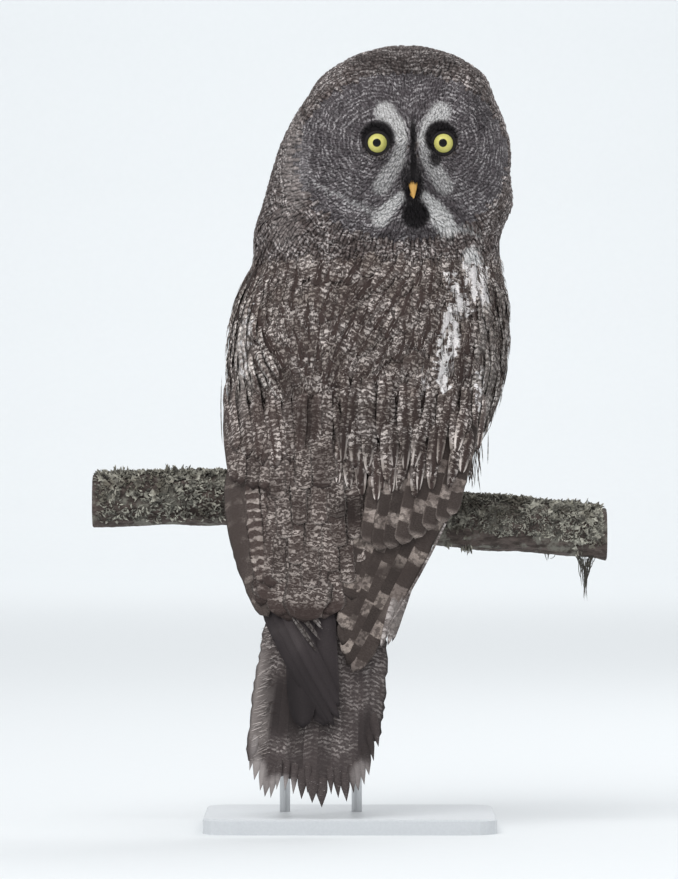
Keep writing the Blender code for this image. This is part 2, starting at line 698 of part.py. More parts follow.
def build_foot(side, torso, home, plumage, dark_horn):
    label = "left" if side < 0 else "right"
    foot_x = LEG["x"] + side * LEG["spread"]
    ground = branch_centre(foot_x)
    top = Vector((foot_x, LEG["y"], LEG["top"]))
    ankle = ground + Vector((0, 0, BRANCH["radius"] + LEG["above_perch"]))
    shin = (top, (top + ankle) / 2, ankle + Vector((0, 0, 6)), ankle + Vector((0, 0, GAP / 2)))
    leg = tube("leg_" + label, shin, (LEG["radius"], LEG["radius"], LEG["ankle"], LEG["ankle"]),
               home, plumage, resolution=3)
    cut(leg, grown_copy(torso, home))
    knob = (ankle - Vector((0, 0, GAP / 2)), ground + Vector((0, 0, BRANCH["radius"] - 3)))
    foot = tube("foot_" + label, knob, (LEG["ankle"], LEG["ankle"] + 1), home, plumage, resolution=3)
    toes = [dict(toe, splay=toe["splay"] * side) for toe in TOES]
    pieces = []
    for number, toe in enumerate(toes):
        points = toe_path(foot_x, toe, toe["start"], toe["end"], BRANCH["radius"] + toe["radius"] * 0.85)
        radii = [toe["radius"] * (1.15 - 0.3 * i / (len(points) - 1)) for i in range(len(points))]
        pieces.append(tube("toe", points, radii, home, resolution=1))
        claw_body("claw_%s_%d" % (label, number + 1), foot_x, toe, home, dark_horn)
    fuse(foot, pieces, home)
    cut(foot, branch_body("perch", home, GAP))
    cut(foot, *[claw_body("claw", foot_x, toe, home, grow=GAP) for toe in toes])
    keep_largest(foot)
    keep_largest(leg)


def main():
    for obj in list(bpy.data.objects):
        bpy.data.objects.remove(obj)
    home = collection("great_grey_owl")
    plumage = material("grey_plumage", GREY_BROWN, 0.85)
    wing_plumage = material("wing_plumage", DARK_BROWN, 0.8)
    face_plumage = material("face_plumage", PALE_GREY, 0.88)
    leg_plumage = material("leg_plumage", PALE_GREY, 0.9)
    iris = material("yellow_iris", (0.72, 0.62, 0.12), 0.12)
    horn = material("yellow_bill", (0.62, 0.36, 0.07), 0.4)
    dark_horn = material("dark_claw", (0.02, 0.018, 0.016), 0.35)
    bark = material("lichen_bark", (0.16, 0.15, 0.12), 0.95)
    steel = material("steel_rod", (0.5, 0.5, 0.5), 0.3, 1.0)
    paint = material("pale_paint", (0.6, 0.61, 0.62), 0.5)
    rods = build_stand(home, steel, paint)
    build_branch(home, bark, rods)
    build_head(home, face_plumage, iris, horn)
    build_neck(home, plumage)
    torso = build_torso(home, plumage)
    build_tail(home, wing_plumage)
    build_wing("wing_left", -1, LEFT_WING, torso, home, wing_plumage)
    build_wing("wing_right", 1, RIGHT_WING, torso, home, wing_plumage)
    feather_torso(torso, home)
    for side in (-1, 1):
        build_foot(side, torso, home, leg_plumage, dark_horn)


main()
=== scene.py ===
import math

import bpy
import numpy as np
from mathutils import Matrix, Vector, noise
from mathutils.bvhtree import BVHTree


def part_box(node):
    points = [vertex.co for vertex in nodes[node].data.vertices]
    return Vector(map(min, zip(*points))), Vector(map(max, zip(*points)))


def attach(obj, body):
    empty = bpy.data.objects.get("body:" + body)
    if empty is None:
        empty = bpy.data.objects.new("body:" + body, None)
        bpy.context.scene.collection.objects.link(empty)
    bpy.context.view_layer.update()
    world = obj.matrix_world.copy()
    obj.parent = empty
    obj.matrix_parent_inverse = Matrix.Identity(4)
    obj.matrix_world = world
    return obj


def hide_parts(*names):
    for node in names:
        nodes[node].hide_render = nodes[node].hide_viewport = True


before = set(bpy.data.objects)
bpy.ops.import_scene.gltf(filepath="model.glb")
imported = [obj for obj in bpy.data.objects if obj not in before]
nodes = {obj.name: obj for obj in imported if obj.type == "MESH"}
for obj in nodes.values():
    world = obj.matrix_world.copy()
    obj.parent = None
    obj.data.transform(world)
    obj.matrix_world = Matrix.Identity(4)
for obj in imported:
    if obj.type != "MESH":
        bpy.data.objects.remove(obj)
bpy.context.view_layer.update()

mm = 0.001
body = "root"
bpy.context.scene.view_settings.view_transform = "Standard"

# Round outlines in mm: height, middle x, half width, y towards the viewer, y of the far side
owlShape = {"square": 0.7, "rows": (
    (303, 2, 56, -72, 30), (309, 3, 78, -84, 50), (318, 4, 94, -91, 68), (336, 8, 104, -96, 86),
    (356, 11, 113, -98, 98), (384, 13.5, 119.5, -100, 112), (435, 17, 121, -97, 112),
    (458, 19.5, 117.5, -91, 106), (478, 22, 112, -82, 95), (486, 23, 110, -79, 86), (511, 23.5, 105.8, -73, 76),
    (537, 32.8, 106.6, -74, 79), (560, 35, 102.5, -75, 83), (588, 39.3, 98, -74, 85), (626, 43.5, 81, -65, 76),
    (652, 47, 62.5, -48, 60), (664, 47.5, 40, -30, 42), (672, 47.5, 12, -2, 16),
)}
rumpShape = {"rows": (
    (126, -23, 12, -99, -91), (150, -22, 22, -95, -81), (195, -20, 34, -88, -66), (238, -16, 40, -84, -45),
    (257, -10, 54, -84, -32), (282, -5, 66, -86, -27), (318, 4, 83, -91, -20), (328, 6, 88, -93, 26),
    (338, 8, 94, -96, 74), (354, 9, 99, -98, 96),
)}
wingShape = {"rows": (
    (60, -28, 56, -111, -92), (140, -23, 56, -105, -78), (196, -18, 56, -98, -66), (231, -15.5, 69, -96, -56),
    (282, -2, 88, -95, -36), (304, 2.5, 92.5, -95, -31), (320, 6, 98, -95, -20), (336, 9, 104, -95, 38),
    (356, 11, 113, -95, 80), (384, 13.5, 119.5, -95, 96), (435, 17, 121, -92, 97), (458, 19.5, 117.5, -88, 90),
    (476, 22, 108, -78, 78),
)}
# wider outlines on which the long feathers of the wings lie, so that the outer ones still face the viewer
leftShape = {"rows": (
    (60, -28, 66, -111, -92), (140, -20, 66, -105, -78), (180, -16, 72, -101, -68), (208, -14, 82, -98, -60),
    (227, -12, 93, -97, -54), (241, -10, 98, -96, -50), (282, -4, 108, -95, -36), (304, 0, 110, -95, -31),
    (320, 4, 114, -95, -20), (336, 8, 118, -95, 38), (356, 11, 121, -95, 80), (384, 13.5, 123, -95, 96),
    (476, 22, 112, -78, 78),
)}
rightShape = {"rows": (
    (60, -20, 60, -111, -92), (141, -8, 56, -105, -78), (170, -5, 60, -102, -70), (203, 0, 66, -99, -62),
    (241, 5, 80, -97, -52), (282, 8, 100, -95, -36), (304, 9, 106, -95, -31), (336, 9, 112, -95, 30),
    (356, 11, 118, -95, 80), (384, 13.5, 121, -95, 96), (476, 22, 110, -78, 78),
)}
tailShape = {"rows": (
    (28, -31, 95, -106, -66), (140, -26, 95, -96, -56), (238, -17, 95, -84, -44),
)}

# The face, on both sides of its middle
face = {
    "midX": 51.6, "eyeSpan": 28.2, "eyeZ": 587.0, "yaw": math.radians(7),
    "discX": 46.0, "discZ": 577.0, "discWide": 91.0, "discHigh": 69.0,
    "dish": 6.0, "dishRadius": 25.0, "ridge": 8.0, "heap": 6.0, "rim": 4.0,
}
perch = {"radius": 22.5, "y": 8.0, "sway": 5.0, "swayLength": 95.0, "line": (
    (-221, 281), (-170, 283), (-106, 283), (-17, 276), (80, 265), (178, 257.5), (221, 252),
)}
legs = {"x": 2.5, "spread": 32.0, "y": 10.0, "top": 350.0, "radius": 12.0, "ankle": 10.0, "above": 14.5}
toePoints = 9
toes = (
    {"splay": -13.0, "start": 10.0, "end": 84.0, "radius": 6.4},
    {"splay": 11.0, "start": 10.0, "end": 88.0, "radius": 6.4},
    {"splay": -19.0, "start": -10.0, "end": -66.0, "radius": 5.8},
    {"splay": 9.0, "start": -10.0, "end": -70.0, "radius": 5.8},
)


def rowsAt(rows, places):
    # values of the rows at each place, on smooth curves through them
    table = np.array(rows, float)
    at = table[:, 0]
    slopes = np.gradient(table, at, axis=0)
    places = np.clip(np.asarray(places, float), at[0], at[-1])
    i = np.clip(np.searchsorted(at, places) - 1, 0, len(at) - 2)
    span = (at[i + 1] - at[i])[:, None]
    t = (places - at[i])[:, None] / span
    start = (2 * t**3 - 3 * t**2 + 1) * table[i] + (t**3 - 2 * t**2 + t) * span * slopes[i]
    return start + (3 * t**2 - 2 * t**3) * table[i + 1] + (t**3 - t**2) * span * slopes[i + 1]


def onShape(shape, angles, heights, out=0.0):
    # points in mm, at angles from the viewer's side towards +X
    row = rowsAt(shape["rows"], heights)
    square = 2 + shape.get("square", 0) * np.clip((heights - 330) / 60, 0, 1)
    power = np.where(np.abs(angles) < math.pi / 2, 2 / square, 1.0)
    sine, cosine = np.sin(angles), np.cos(angles)
    x = row[:, 1] + (row[:, 2] + out) * np.sign(sine) * np.abs(sine) ** power
    deep = (row[:, 4] - row[:, 3]) / 2 + out
    y = (row[:, 3] + row[:, 4]) / 2 - deep * np.sign(cosine) * np.abs(cosine) ** power
    return columns(x, y, np.asarray(heights, float))


def columns(*values):
    return np.stack(values, axis=1)


def unit(vectors):
    return vectors / np.maximum(np.linalg.norm(vectors, axis=-1, keepdims=True), 1e-9)


def outOf(shape, angles, heights):
    beside = onShape(shape, angles + 0.04, heights) - onShape(shape, angles - 0.04, heights)
    above = onShape(shape, angles, heights + 4) - onShape(shape, angles, heights - 4)
    return unit(np.cross(beside, above))


def angleOver(shape, xs, heights):
    # angle at which the viewer's side stands over x
    row = rowsAt(shape["rows"], heights)
    share = np.abs(xs - row[:, 1]) / row[:, 2]
    square = 2 + shape.get("square", 0) * np.clip((heights - 330) / 60, 0, 1)
    angle = np.arcsin(np.minimum(share, 0.96) ** (square / 2)) + np.maximum(0, share - 0.96) * 1.3
    return np.sign(xs - row[:, 1]) * angle


def bump(distance, radius):
    return np.exp(-((distance / radius) ** 2))


def smooth(low, high, value):
    t = np.clip((value - low) / (high - low), 0, 1)
    return t * t * (3 - 2 * t)


def faceRelief(points, angles):
    # dish round each eye, ridge between them and the raised rim of the disc
    x, z = points[:, 0] - face["midX"], points[:, 2] - face["eyeZ"]
    near = np.minimum(np.hypot(x - face["eyeSpan"], z), np.hypot(x + face["eyeSpan"], z))
    push = -face["dish"] * bump(near, face["dishRadius"])
    push = push + face["ridge"] * bump(x, 11) * bump(z + 20, 40) + face["heap"] * bump(x, 12) * bump(z + 36, 17)
    edge = discEdge(points)
    push = push + face["rim"] * bump(edge - 0.95, 0.09) - 1.5 * bump(edge - 1.15, 0.09)
    facing = np.sqrt(np.clip(np.cos(angles), 0, 1))
    moved = points.copy()
    moved[:, 1] -= push * facing
    return moved


def discEdge(points):
    # 0 in the middle of the face, 1 on its rim
    x = (points[:, 0] - face["discX"]) / face["discWide"]
    return np.hypot(x, (points[:, 2] - face["discZ"]) / face["discHigh"])


def deselect():
    bpy.ops.object.select_all(action="DESELECT")


def pick(*objs):
    deselect()
    for obj in objs:
        obj.select_set(True)
    bpy.context.view_layer.objects.active = objs[0]


def getPoints(obj):
    co = np.empty(len(obj.data.vertices) * 3, np.float32)
    obj.data.vertices.foreach_get("co", co)
    return co.reshape(-1, 3).astype(float)


def setPoints(obj, points):
    obj.data.vertices.foreach_set("co", np.asarray(points, np.float32).ravel())
    obj.data.update()


def applyModifier(obj, kind, **settings):
    pick(obj)
    modifier = obj.modifiers.new(kind, kind)
    for key, value in settings.items():
        setattr(modifier, key, value)
    bpy.ops.object.modifier_apply(modifier=modifier.name)


def editMesh(operator, **settings):
    # runs an operator in edit mode on all of the active object
    bpy.ops.object.mode_set(mode="EDIT")
    bpy.ops.mesh.select_all(action="SELECT")
    operator(**settings)
    bpy.ops.object.mode_set(mode="OBJECT")


def finished(obj, name, material, slot, *replaced):
    # names a piece, sets its finish and hangs it on the body
    obj.name = name
    obj.data.name = name
    obj.data.materials.clear()
    obj.data.materials.append(material)
    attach(obj, body)
    if replaced:
        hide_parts(*replaced)
    return obj


perchX = np.linspace(-260, 260, 521)
perchZ = rowsAt(perch["line"], perchX)[:, 1]


def perchAt(xs):
    # middle of the branch at each x
    ys = perch["y"] + perch["sway"] * np.sin(xs / perch["swayLength"])
    return columns(xs, ys, np.interp(xs, perchX, perchZ))


def perchPoint(x):
    return Vector(perchAt(np.array([float(x)]))[0])


def toePath(footX, toe, side, away):
    points = []
    for share in np.arange(toePoints) / (toePoints - 1):
        angle = math.radians(toe["start"] + (toe["end"] - toe["start"]) * share)
        centre = perchPoint(footX + toe["splay"] * side * math.sin(abs(angle)) * 1.1)
        points.append(centre + Vector((0, math.sin(angle), math.cos(angle))) * away)
    return points


# Finishes
class Finish:
    # a node tree built a line at a time
    def __init__(self, name, roughness):
        self.material = bpy.data.materials.new(name)
        self.material.use_nodes = True
        self.tree = self.material.node_tree
        self.shader = self.tree.nodes["Principled BSDF"]
        self.shader.inputs["Roughness"].default_value = roughness
        self.coords = self.tree.nodes.new("ShaderNodeTexCoord").outputs["Object"]

    def put(self, socket, value):
        if isinstance(value, bpy.types.NodeSocket):
            self.tree.links.new(value, socket)
        elif isinstance(value, tuple) and len(value) == 3 and socket.type == "RGBA":
            socket.default_value = (*value, 1)
        else:
            socket.default_value = value

    def node(self, kind, *values, **named):
        # a new node: its settings and inputs by name, and its inputs in their order
        node = self.tree.nodes.new("ShaderNode" + kind)
        for key, value in named.items():
            if key in node.inputs:
                self.put(node.inputs[key], value)
            else:
                setattr(node, key, value)
        for socket, value in zip(node.inputs, values):
            self.put(socket, value)
        return node

    def attribute(self, name):
        return self.node("Attribute", attribute_name=name).outputs["Vector"]

    def split(self, vector):
        return self.node("SeparateXYZ", vector).outputs

    def join(self, *values):
        return self.node("CombineXYZ", *values).outputs[0]

    def sum(self, operation, *values):
        return self.node("Math", *values, operation=operation).outputs[0]

    def times(self, one, two):
        return self.sum("MULTIPLY", one, two)

    def timesPlus(self, one, two, three):
        return self.sum("MULTIPLY_ADD", one, two, three)

    def minus(self, one, two):
        return self.sum("SUBTRACT", one, two)

    def most(self, one, two):
        return self.sum("MAXIMUM", one, two)

    def scaled(self, vector, scale):
        return self.node("Mapping", vector, Scale=scale).outputs[0]

    def noise(self, vector, scale=1.0, detail=1.0, rough=0.5):
        return self.node("TexNoise", vector, Scale=scale, Detail=detail, Roughness=rough).outputs["Fac"]

    def cells(self, vector, scale=1.0):
        return self.node("TexVoronoi", vector, Scale=scale).outputs["Distance"]

    def between(self, value, low, high, start=0.0, end=1.0):
        return self.node("MapRange", value, low, high, start, end, interpolation_type="SMOOTHSTEP").outputs[0]

    def mix(self, factor, one, two, blend="MIX"):
        return self.node("Mix", data_type="RGBA", blend_type=blend, Factor=factor, A=one, B=two).outputs["Result"]

    def bump(self, height, distance, strength=1.0):
        node = self.node("Bump", Strength=strength, Distance=distance, Height=height)
        self.put(self.shader.inputs["Normal"], node.outputs[0])

    def set(self, name, value):
        self.shader.inputs[name].default_value = value

    def colour(self, value):
        self.put(self.shader.inputs["Base Color"], value)
        return self.material


def grained(name, roughness, one, two, distance, strength, scale=1.0, detail=3.0, stretch=None, **sockets):
    # a finish of one fine grain between two colours
    f = Finish(name, roughness)
    grain = f.noise(f.scaled(f.coords, stretch) if stretch else f.coords, scale, detail)
    for socket, value in sockets.items():
        f.set(socket.replace("_", " "), value)
    f.bump(grain, distance, strength)
    return f.colour(f.mix(grain, one, two))


def plumage(name, look):
    # dark and pale across each feather, in mm along and across it, under the face's own marks
    f = Finish(name, 0.8)
    dark, dark2, pale, pale2 = (tuple(np.array(look[key]) * look["cast"]) for key in ("dark", "dark2", "pale", "pale2"))
    across, along, seed = f.split(f.attribute("grain"))
    shareAcross, shareAlong, tone = f.split(f.attribute("part"))
    white, black, ring = f.split(f.attribute("marks"))
    calm, glow, _ = f.split(f.attribute("zones"))
    own = f.sum("FRACT", f.times(seed, 7.31))
    beside = f.sum("ABSOLUTE", across)
    # cross bars, bent and broken by noise into worm-like lines; rings round the eyes on the head
    if look["byRing"]:
        place = f.scaled(f.coords, (1000 / look["waveWide"],) * 3)
        source = ring
    else:
        place = f.join(f.times(across, 1 / look["waveWide"]), f.times(along, 1 / look["waveLong"]), seed)
        source = f.timesPlus(beside, -look["sweep"], f.timesPlus(own, look["shift"], along))
    wobble = f.minus(f.noise(place, 1.0, 3.0, 0.6), 0.5)
    if look["loose"]:
        wobble = f.times(wobble, f.between(ring, 30.0, 100.0, 1.0, look["loose"]))
    wave = f.sum("SINE", f.times(f.timesPlus(wobble, look["wave"], source), 2 * math.pi / look["bar"]))
    if look["byRing"]:
        fine = f.noise(f.coords, 900, 3.0, 0.7)
    else:
        fine = f.noise(f.join(f.times(across, 0.6), f.times(along, 1.4), seed), 1.0, 3.0, 0.7)
    bars = f.between(f.timesPlus(f.minus(fine, 0.5), look["grit"], wave), look["barFrom"], look["barTo"])
    breaks = f.between(f.noise(f.scaled(place, (1.9, 1.3, 1.0))), 0.4, 0.54, 1 - look["broken"], 1.0)
    speckle = f.between(fine, 0.4, 0.6)
    pattern = f.times(f.times(bars, breaks), f.timesPlus(speckle, look["speckle"], 1 - look["speckle"]))
    pattern = f.most(pattern, f.times(speckle, look["dust"]))
    # dark streak down the middle, as a drop, wide on some feathers and thin on others
    if look["streak"]:
        width = f.timesPlus(own, look["streak"], look["streak"] * 0.3)
        width = f.times(f.between(shareAlong, 0.2, 0.8, 0.4, 1.0), width)
        ragged = f.timesPlus(f.minus(fine, 0.5), 11.0, f.timesPlus(wobble, 8.0, across))
        streak = f.between(f.sum("DIVIDE", f.sum("ABSOLUTE", ragged), width), 0.6, 1.2, 1.0, 0.0)
        pattern = f.times(pattern, f.minus(1.0, streak))
    if look["plainFrom"] < 1:
        left = f.between(shareAlong, look["plainFrom"], look["plainFrom"] + 0.04, 1.0, look["plainLeft"])
        pattern = f.times(pattern, left)
    pattern = f.times(pattern, f.minus(1.0, calm))
    if look["fringe"]:
        edge = f.between(f.sum("ABSOLUTE", shareAcross), 0.7, 1.0, 0.0, look["fringe"])
        if look["rim"]:
            edge = f.most(edge, f.between(shareAlong, look["rim"], look["rim"] + 0.05, 0.0, look["fringe"]))
        pattern = f.most(pattern, f.times(edge, f.between(fine, 0.3, 0.55)))
    if look["whiteEdge"]:
        edge = f.times(f.between(f.sum("ABSOLUTE", shareAcross), 0.35, 0.6), f.between(shareAlong, 0.55, 0.85))
        edge = f.times(edge, f.between(f.noise(f.scaled(place, (0.5, 0.35, 1.0))), 0.4, 0.55))
        pattern = f.most(pattern, f.times(edge, look["whiteEdge"]))
    ground = f.timesPlus(f.noise(f.coords, 28, 2.0), 0.5, f.between(fine, 0.35, 0.65, 0.0, 0.5))
    light = f.mix(f.between(f.noise(f.coords, 60, 2.0), 0.38, 0.62), pale, pale2)
    colour = f.mix(pattern, f.mix(ground, dark, dark2), light)
    # glow lifts the colour towards pale and the tone below darkens it: partly pale and dark plumage, partly painted
    # light and painted shade
    colour = f.mix(glow, colour, f.mix(fine, pale, pale2))
    colour = f.mix(1.0, colour, f.join(tone, tone, tone), "MULTIPLY")
    # white and black marks, the white ones torn along the streaks
    if look["streak"]:
        torn = f.between(f.noise(f.scaled(place, (0.9, 0.6, 1.0)), 1.0, 2.0), 0.36, 0.62, 0.15, 1.5)
        white = f.between(f.times(white, torn), 0.3, 0.5)
        white = f.times(white, f.timesPlus(streak, -0.9, 1.0))
        snow = f.mix(f.between(fine, 0.3, 0.6), (0.62, 0.58, 0.57), (1.0, 0.955, 0.945))
    else:
        snow = f.mix(f.between(fine, 0.3, 0.7), (0.46, 0.445, 0.43), (1.0, 0.985, 0.975))
    colour = f.mix(black, f.mix(white, colour, snow), (0.011, 0.009, 0.010))
    barbs = f.sum("SINE", f.times(f.timesPlus(beside, -0.7, along), 2 * math.pi / 0.9))
    f.bump(f.timesPlus(fine, 1.5, f.times(barbs, 0.25)), 0.0004, 0.7)
    f.set("Specular IOR Level", 0.2)
    return f.colour(colour)


plain = {
    "byRing": False, "loose": 0.0, "bar": 4.6, "shift": 4.6, "wave": 14.0, "waveWide": 7.0, "waveLong": 5.0,
    "sweep": 0.3, "barFrom": -0.35, "barTo": 0.45, "broken": 0.8, "grit": 1.8, "speckle": 0.25, "dust": 0.16,
    "streak": 0.0, "plainFrom": 1.0, "plainLeft": 1.0, "fringe": 0.15, "rim": 0.0, "whiteEdge": 0.0,
    "cast": (1.0, 0.935, 0.89), "dark": (0.040, 0.028, 0.026), "dark2": (0.066, 0.050, 0.047),
    "pale": (0.34, 0.31, 0.29), "pale2": (0.78, 0.745, 0.73),
}
looks = {
    "mantle": dict(streak=3.2, grit=1.4, barTo=0.35),
    "covert": dict(streak=1.7, grit=1.4, barTo=0.35, pale=(0.29, 0.26, 0.245), pale2=(0.65, 0.615, 0.60)),
    "hem": dict(streak=2.8, whiteEdge=1.0),
    "flank": dict(bar=4.8, shift=4.8, wave=8.0, grit=1.0, broken=0.4, barFrom=-0.6, barTo=0.0, streak=1.3,
        whiteEdge=0.3, dust=0.14, pale=(0.46, 0.43, 0.41), pale2=(1.0, 0.98, 0.96)),
    "breast": dict(streak=3.6, dust=0.2),
    "barb": dict(bar=6.0, shift=6.0, dust=0.2),
    "head": dict(byRing=True, loose=2.0, bar=4.2, wave=9.0, waveWide=8.0, grit=2.0, barFrom=-0.3, barTo=0.6,
        broken=0.7, fringe=0.0, cast=(1.0, 0.96, 0.97), dark=(0.050, 0.037, 0.034), dark2=(0.080, 0.063, 0.057),
        pale=(0.27, 0.24, 0.225), pale2=(0.60, 0.565, 0.54)),
    "face": dict(byRing=True, loose=1.4, bar=3.5, wave=9.0, waveWide=6.5, grit=1.5, barFrom=-0.3, barTo=0.9,
        broken=0.8, dust=0.2, fringe=0.0, cast=(1.0, 1.0, 1.0), dark=(0.058, 0.048, 0.052),
        dark2=(0.094, 0.080, 0.085), pale=(0.21, 0.192, 0.198), pale2=(0.46, 0.43, 0.435)),
    "tertial": dict(bar=5.0, shift=5.0, wave=19.0, waveWide=6.5, waveLong=4.0, sweep=0.1, barFrom=-0.3, barTo=0.5,
        broken=0.8, dust=0.16, plainFrom=0.9, plainLeft=0.1, fringe=0.45, pale=(0.23, 0.205, 0.195),
        pale2=(0.50, 0.465, 0.445)),
    "scale": dict(bar=4.8, shift=4.8, wave=17.0, waveWide=6.0, waveLong=4.0, sweep=-0.2, broken=0.8, dust=0.14,
        fringe=0.75, rim=0.93, dark=(0.034, 0.024, 0.022), pale=(0.20, 0.178, 0.168), pale2=(0.52, 0.48, 0.46)),
    "ladder": dict(bar=8.4, shift=3.0, wave=10.0, waveWide=9.0, sweep=0.25, barFrom=-0.1, barTo=0.4, broken=0.6,
        dust=0.12, streak=1.2, pale=(0.27, 0.24, 0.225), pale2=(0.45, 0.415, 0.395)),
    "barred": dict(bar=35.0, shift=6.0, wave=3.0, sweep=-0.1, grit=0.4, barFrom=0.3, barTo=0.5, broken=0.7,
        speckle=0.35, dust=0.06, fringe=0.3, dark=(0.042, 0.033, 0.031), dark2=(0.060, 0.049, 0.045),
        pale=(0.19, 0.165, 0.155), pale2=(0.36, 0.32, 0.295)),
    "row": dict(bar=31.0, shift=6.0, wave=4.0, sweep=-0.1, grit=0.5, barFrom=0.25, barTo=0.5, broken=0.6,
        speckle=0.4, dust=0.06, fringe=0.6, rim=0.93, dark=(0.042, 0.033, 0.031), dark2=(0.060, 0.049, 0.045),
        pale=(0.20, 0.172, 0.16), pale2=(0.44, 0.395, 0.37)),
    "fluff": dict(bar=6.0, shift=6.0, barFrom=-1.2, barTo=0.0, broken=0.6, dust=0.4, fringe=0.5,
        cast=(1.0, 0.97, 0.96), pale=(0.24, 0.215, 0.20), pale2=(0.58, 0.54, 0.52)),
    "outer": dict(bar=17.0, shift=8.0, wave=9.0, waveWide=12.0, barFrom=0.3, barTo=1.2, broken=0.8, dust=0.22,
        fringe=0.3, dark=(0.048, 0.038, 0.036), dark2=(0.074, 0.061, 0.057), pale=(0.13, 0.115, 0.108),
        pale2=(0.24, 0.215, 0.20)),
    "blade": dict(bar=30.0, wave=3.0, barFrom=1.2, barTo=1.3, dust=0.04, fringe=0.4, cast=(1.0, 0.98, 1.0),
        dark=(0.038, 0.031, 0.032), dark2=(0.048, 0.040, 0.040), pale=(0.085, 0.074, 0.072),
        pale2=(0.12, 0.105, 0.10)),
    "tip": dict(bar=7.0, shift=7.0, barFrom=0.9, barTo=1.4, dust=0.08, fringe=0.12, cast=(1.0, 0.97, 0.98),
        dark=(0.055, 0.044, 0.042), dark2=(0.085, 0.070, 0.066), pale=(0.30, 0.272, 0.26),
        pale2=(0.45, 0.42, 0.40)),
    "tail": dict(bar=3.8, shift=3.8, wave=8.0, sweep=0.35, broken=0.7, dust=0.2, streak=0.8, plainFrom=0.86,
        plainLeft=0.2, fringe=0.35, cast=(1.0, 0.97, 0.98), dark=(0.055, 0.044, 0.043),
        dark2=(0.075, 0.062, 0.059), pale=(0.16, 0.14, 0.13), pale2=(0.34, 0.31, 0.29)),
}
finishes = {name: plumage(name + "Plumage", {**plain, **own}) for name, own in looks.items()}
print("finishes made")


# Face marks, the same on skin and coat
faceMarks = {
    # lines as (dx from the middle, z, half width), mirrored, after their strength
    "middle": 53.6,
    "white": (
        (0.78, ((24.0, 613.5, 9.5), (15.0, 602, 8.5), (9.8, 590, 6.0))),
        (0.45, ((10.0, 585, 5.5), (12.5, 574, 7.0), (19.5, 562, 8.0), (27.0, 550, 8.0))),
        (0.8, ((10.5, 541, 4.5), (20.0, 531, 6.5), (28.0, 521, 7.0))),
    ),
    # pale rim of the disc and the longer right moustache, in x and z
    "rim": (
        (0.5, ((-31, 553, 1.2), (3, 535, 2.0), (24, 525, 2.6))),
        (0.9, ((66, 536, 4), (75, 522, 7), (84, 513, 8))),
        (0.5, ((90, 514, 4), (104, 512, 2.0), (113, 508, 1.5))),
    ),
    # pale patches of the scapulars and flanks, in x and z
    "patches": (
        (1.0, ((103, 492, 7), (108, 475, 11), (113, 450, 6))),
        (0.9, ((85.5, 474, 4), (91, 458, 5), (99, 441, 4))),
        (0.95, ((86, 446, 5), (85, 415, 9.5), (80, 400, 6), (80, 377, 3))),
        (0.4, ((-84, 450, 3), (-90, 420, 6), (-91, 388, 4))),
        (0.5, ((111, 392, 4), (110, 360, 3))),
        (0.4, ((61, 392, 4), (66, 372, 3))),
    ),
    # black spots as dx, z, half width, half height, where their edge starts and ends, strength
    "black": ((2, 525, 12.5, 13.0, 0.75, 1.15, 1.0), (0, 550, 8.5, 15.0, 0.7, 1.2, 0.8)),
    # those by each eye as mm inwards and up, then the same, with what the right eye has more and the left less
    "eyeBlack": ((1.0, 4.5, 14.5, 15.0, 0.85, 1.12, 1.0, 0.0), (6.0, -13.0, 6.0, 8.0, 0.5, 1.2, 0.65, 0.2)),
    # x, z, half width, half height, strength: plain places; pale places (glow), partly pale plumage and partly painted
    # light; darker places (shade), partly dark plumage and partly painted shade
    "calm": (
        (-76, 372, 5, 26, 0.4),
        (-36, 352, 10, 22, 0.6), (-50, 375, 7, 30, 0.5), (-2, 270, 9, 16, 0.9), (-58, 106, 19, 32, 1.0),
        (-30, 124, 24, 34, 0.95),
        (14, 92, 12, 20, 0.9), (-28, 62, 16, 16, 0.6), (13, 84, 10, 22, 0.95), (-97, 250, 8, 45, 0.9),
        (42, 222, 32, 9, 0.9),
    ),
    "glow": (
        (-46, 565, 13, 38, 0.42), (-55, 515, 14, 22, 0.22), (115, 400, 8, 60, 0.1), (-46, 166, 9, 12, 0.25),
        (-91, 395, 9, 48, 0.2),
        (-60, 172, 14, 6, 0.3),
        (-80, 118, 12, 58, 0.9), (-79, 50, 9, 18, 0.9), (-60, 40, 16, 12, 0.8), (10, 50, 10, 14, 0.6),
        (38, 188, 10, 18, 0.35),
        (-48, 590, 10, 30, 0.28),
    ),
    "shade": (
        (-36, 350, 12, 22, 0.25), (-30, 110, 34, 44, 0.2), (-56, 108, 18, 32, 0.42), (38, 345, 50, 32, 0.2),
        (0, 276, 14, 14, 0.3), (52, 508, 34, 6, 0.2), (50, 668, 64, 30, 0.42),
        (116, 630, 14, 40, 0.3), (13, 84, 10, 24, 0.3),
    ),
}


def eyeCentre(side):
    low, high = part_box("eye_left" if side < 0 else "eye_right")
    return (low + high) / 2


eyes = [np.array(eyeCentre(side)) / mm for side in (-1, 1)]


def fromEyes(points):
    # mm from the nearer eye
    return np.minimum(*[np.linalg.norm(points - eye, axis=1) for eye in eyes])


def alongLine(dx, z, line):
    # 1 on a line of spots, 0 off its width
    best = np.zeros(len(dx))
    for one, two in zip(line[:-1], line[1:]):
        a, b = np.array(one[:2]), np.array(two[:2])
        span = b - a
        t = np.clip(((dx - a[0]) * span[0] + (z - a[1]) * span[1]) / span.dot(span), 0, 1)
        wide = one[2] + (two[2] - one[2]) * t
        off = np.hypot(dx - a[0] - span[0] * t, z - a[1] - span[1] * t)
        best = np.maximum(best, 1 - smooth(wide * 0.6, wide * 1.15, off))
    return best


def spot(x, z, wide, high, start, end):
    # 1 in the middle of a round spot, 0 off its edge
    return 1 - smooth(start, end, np.hypot(x / wide, z / high))


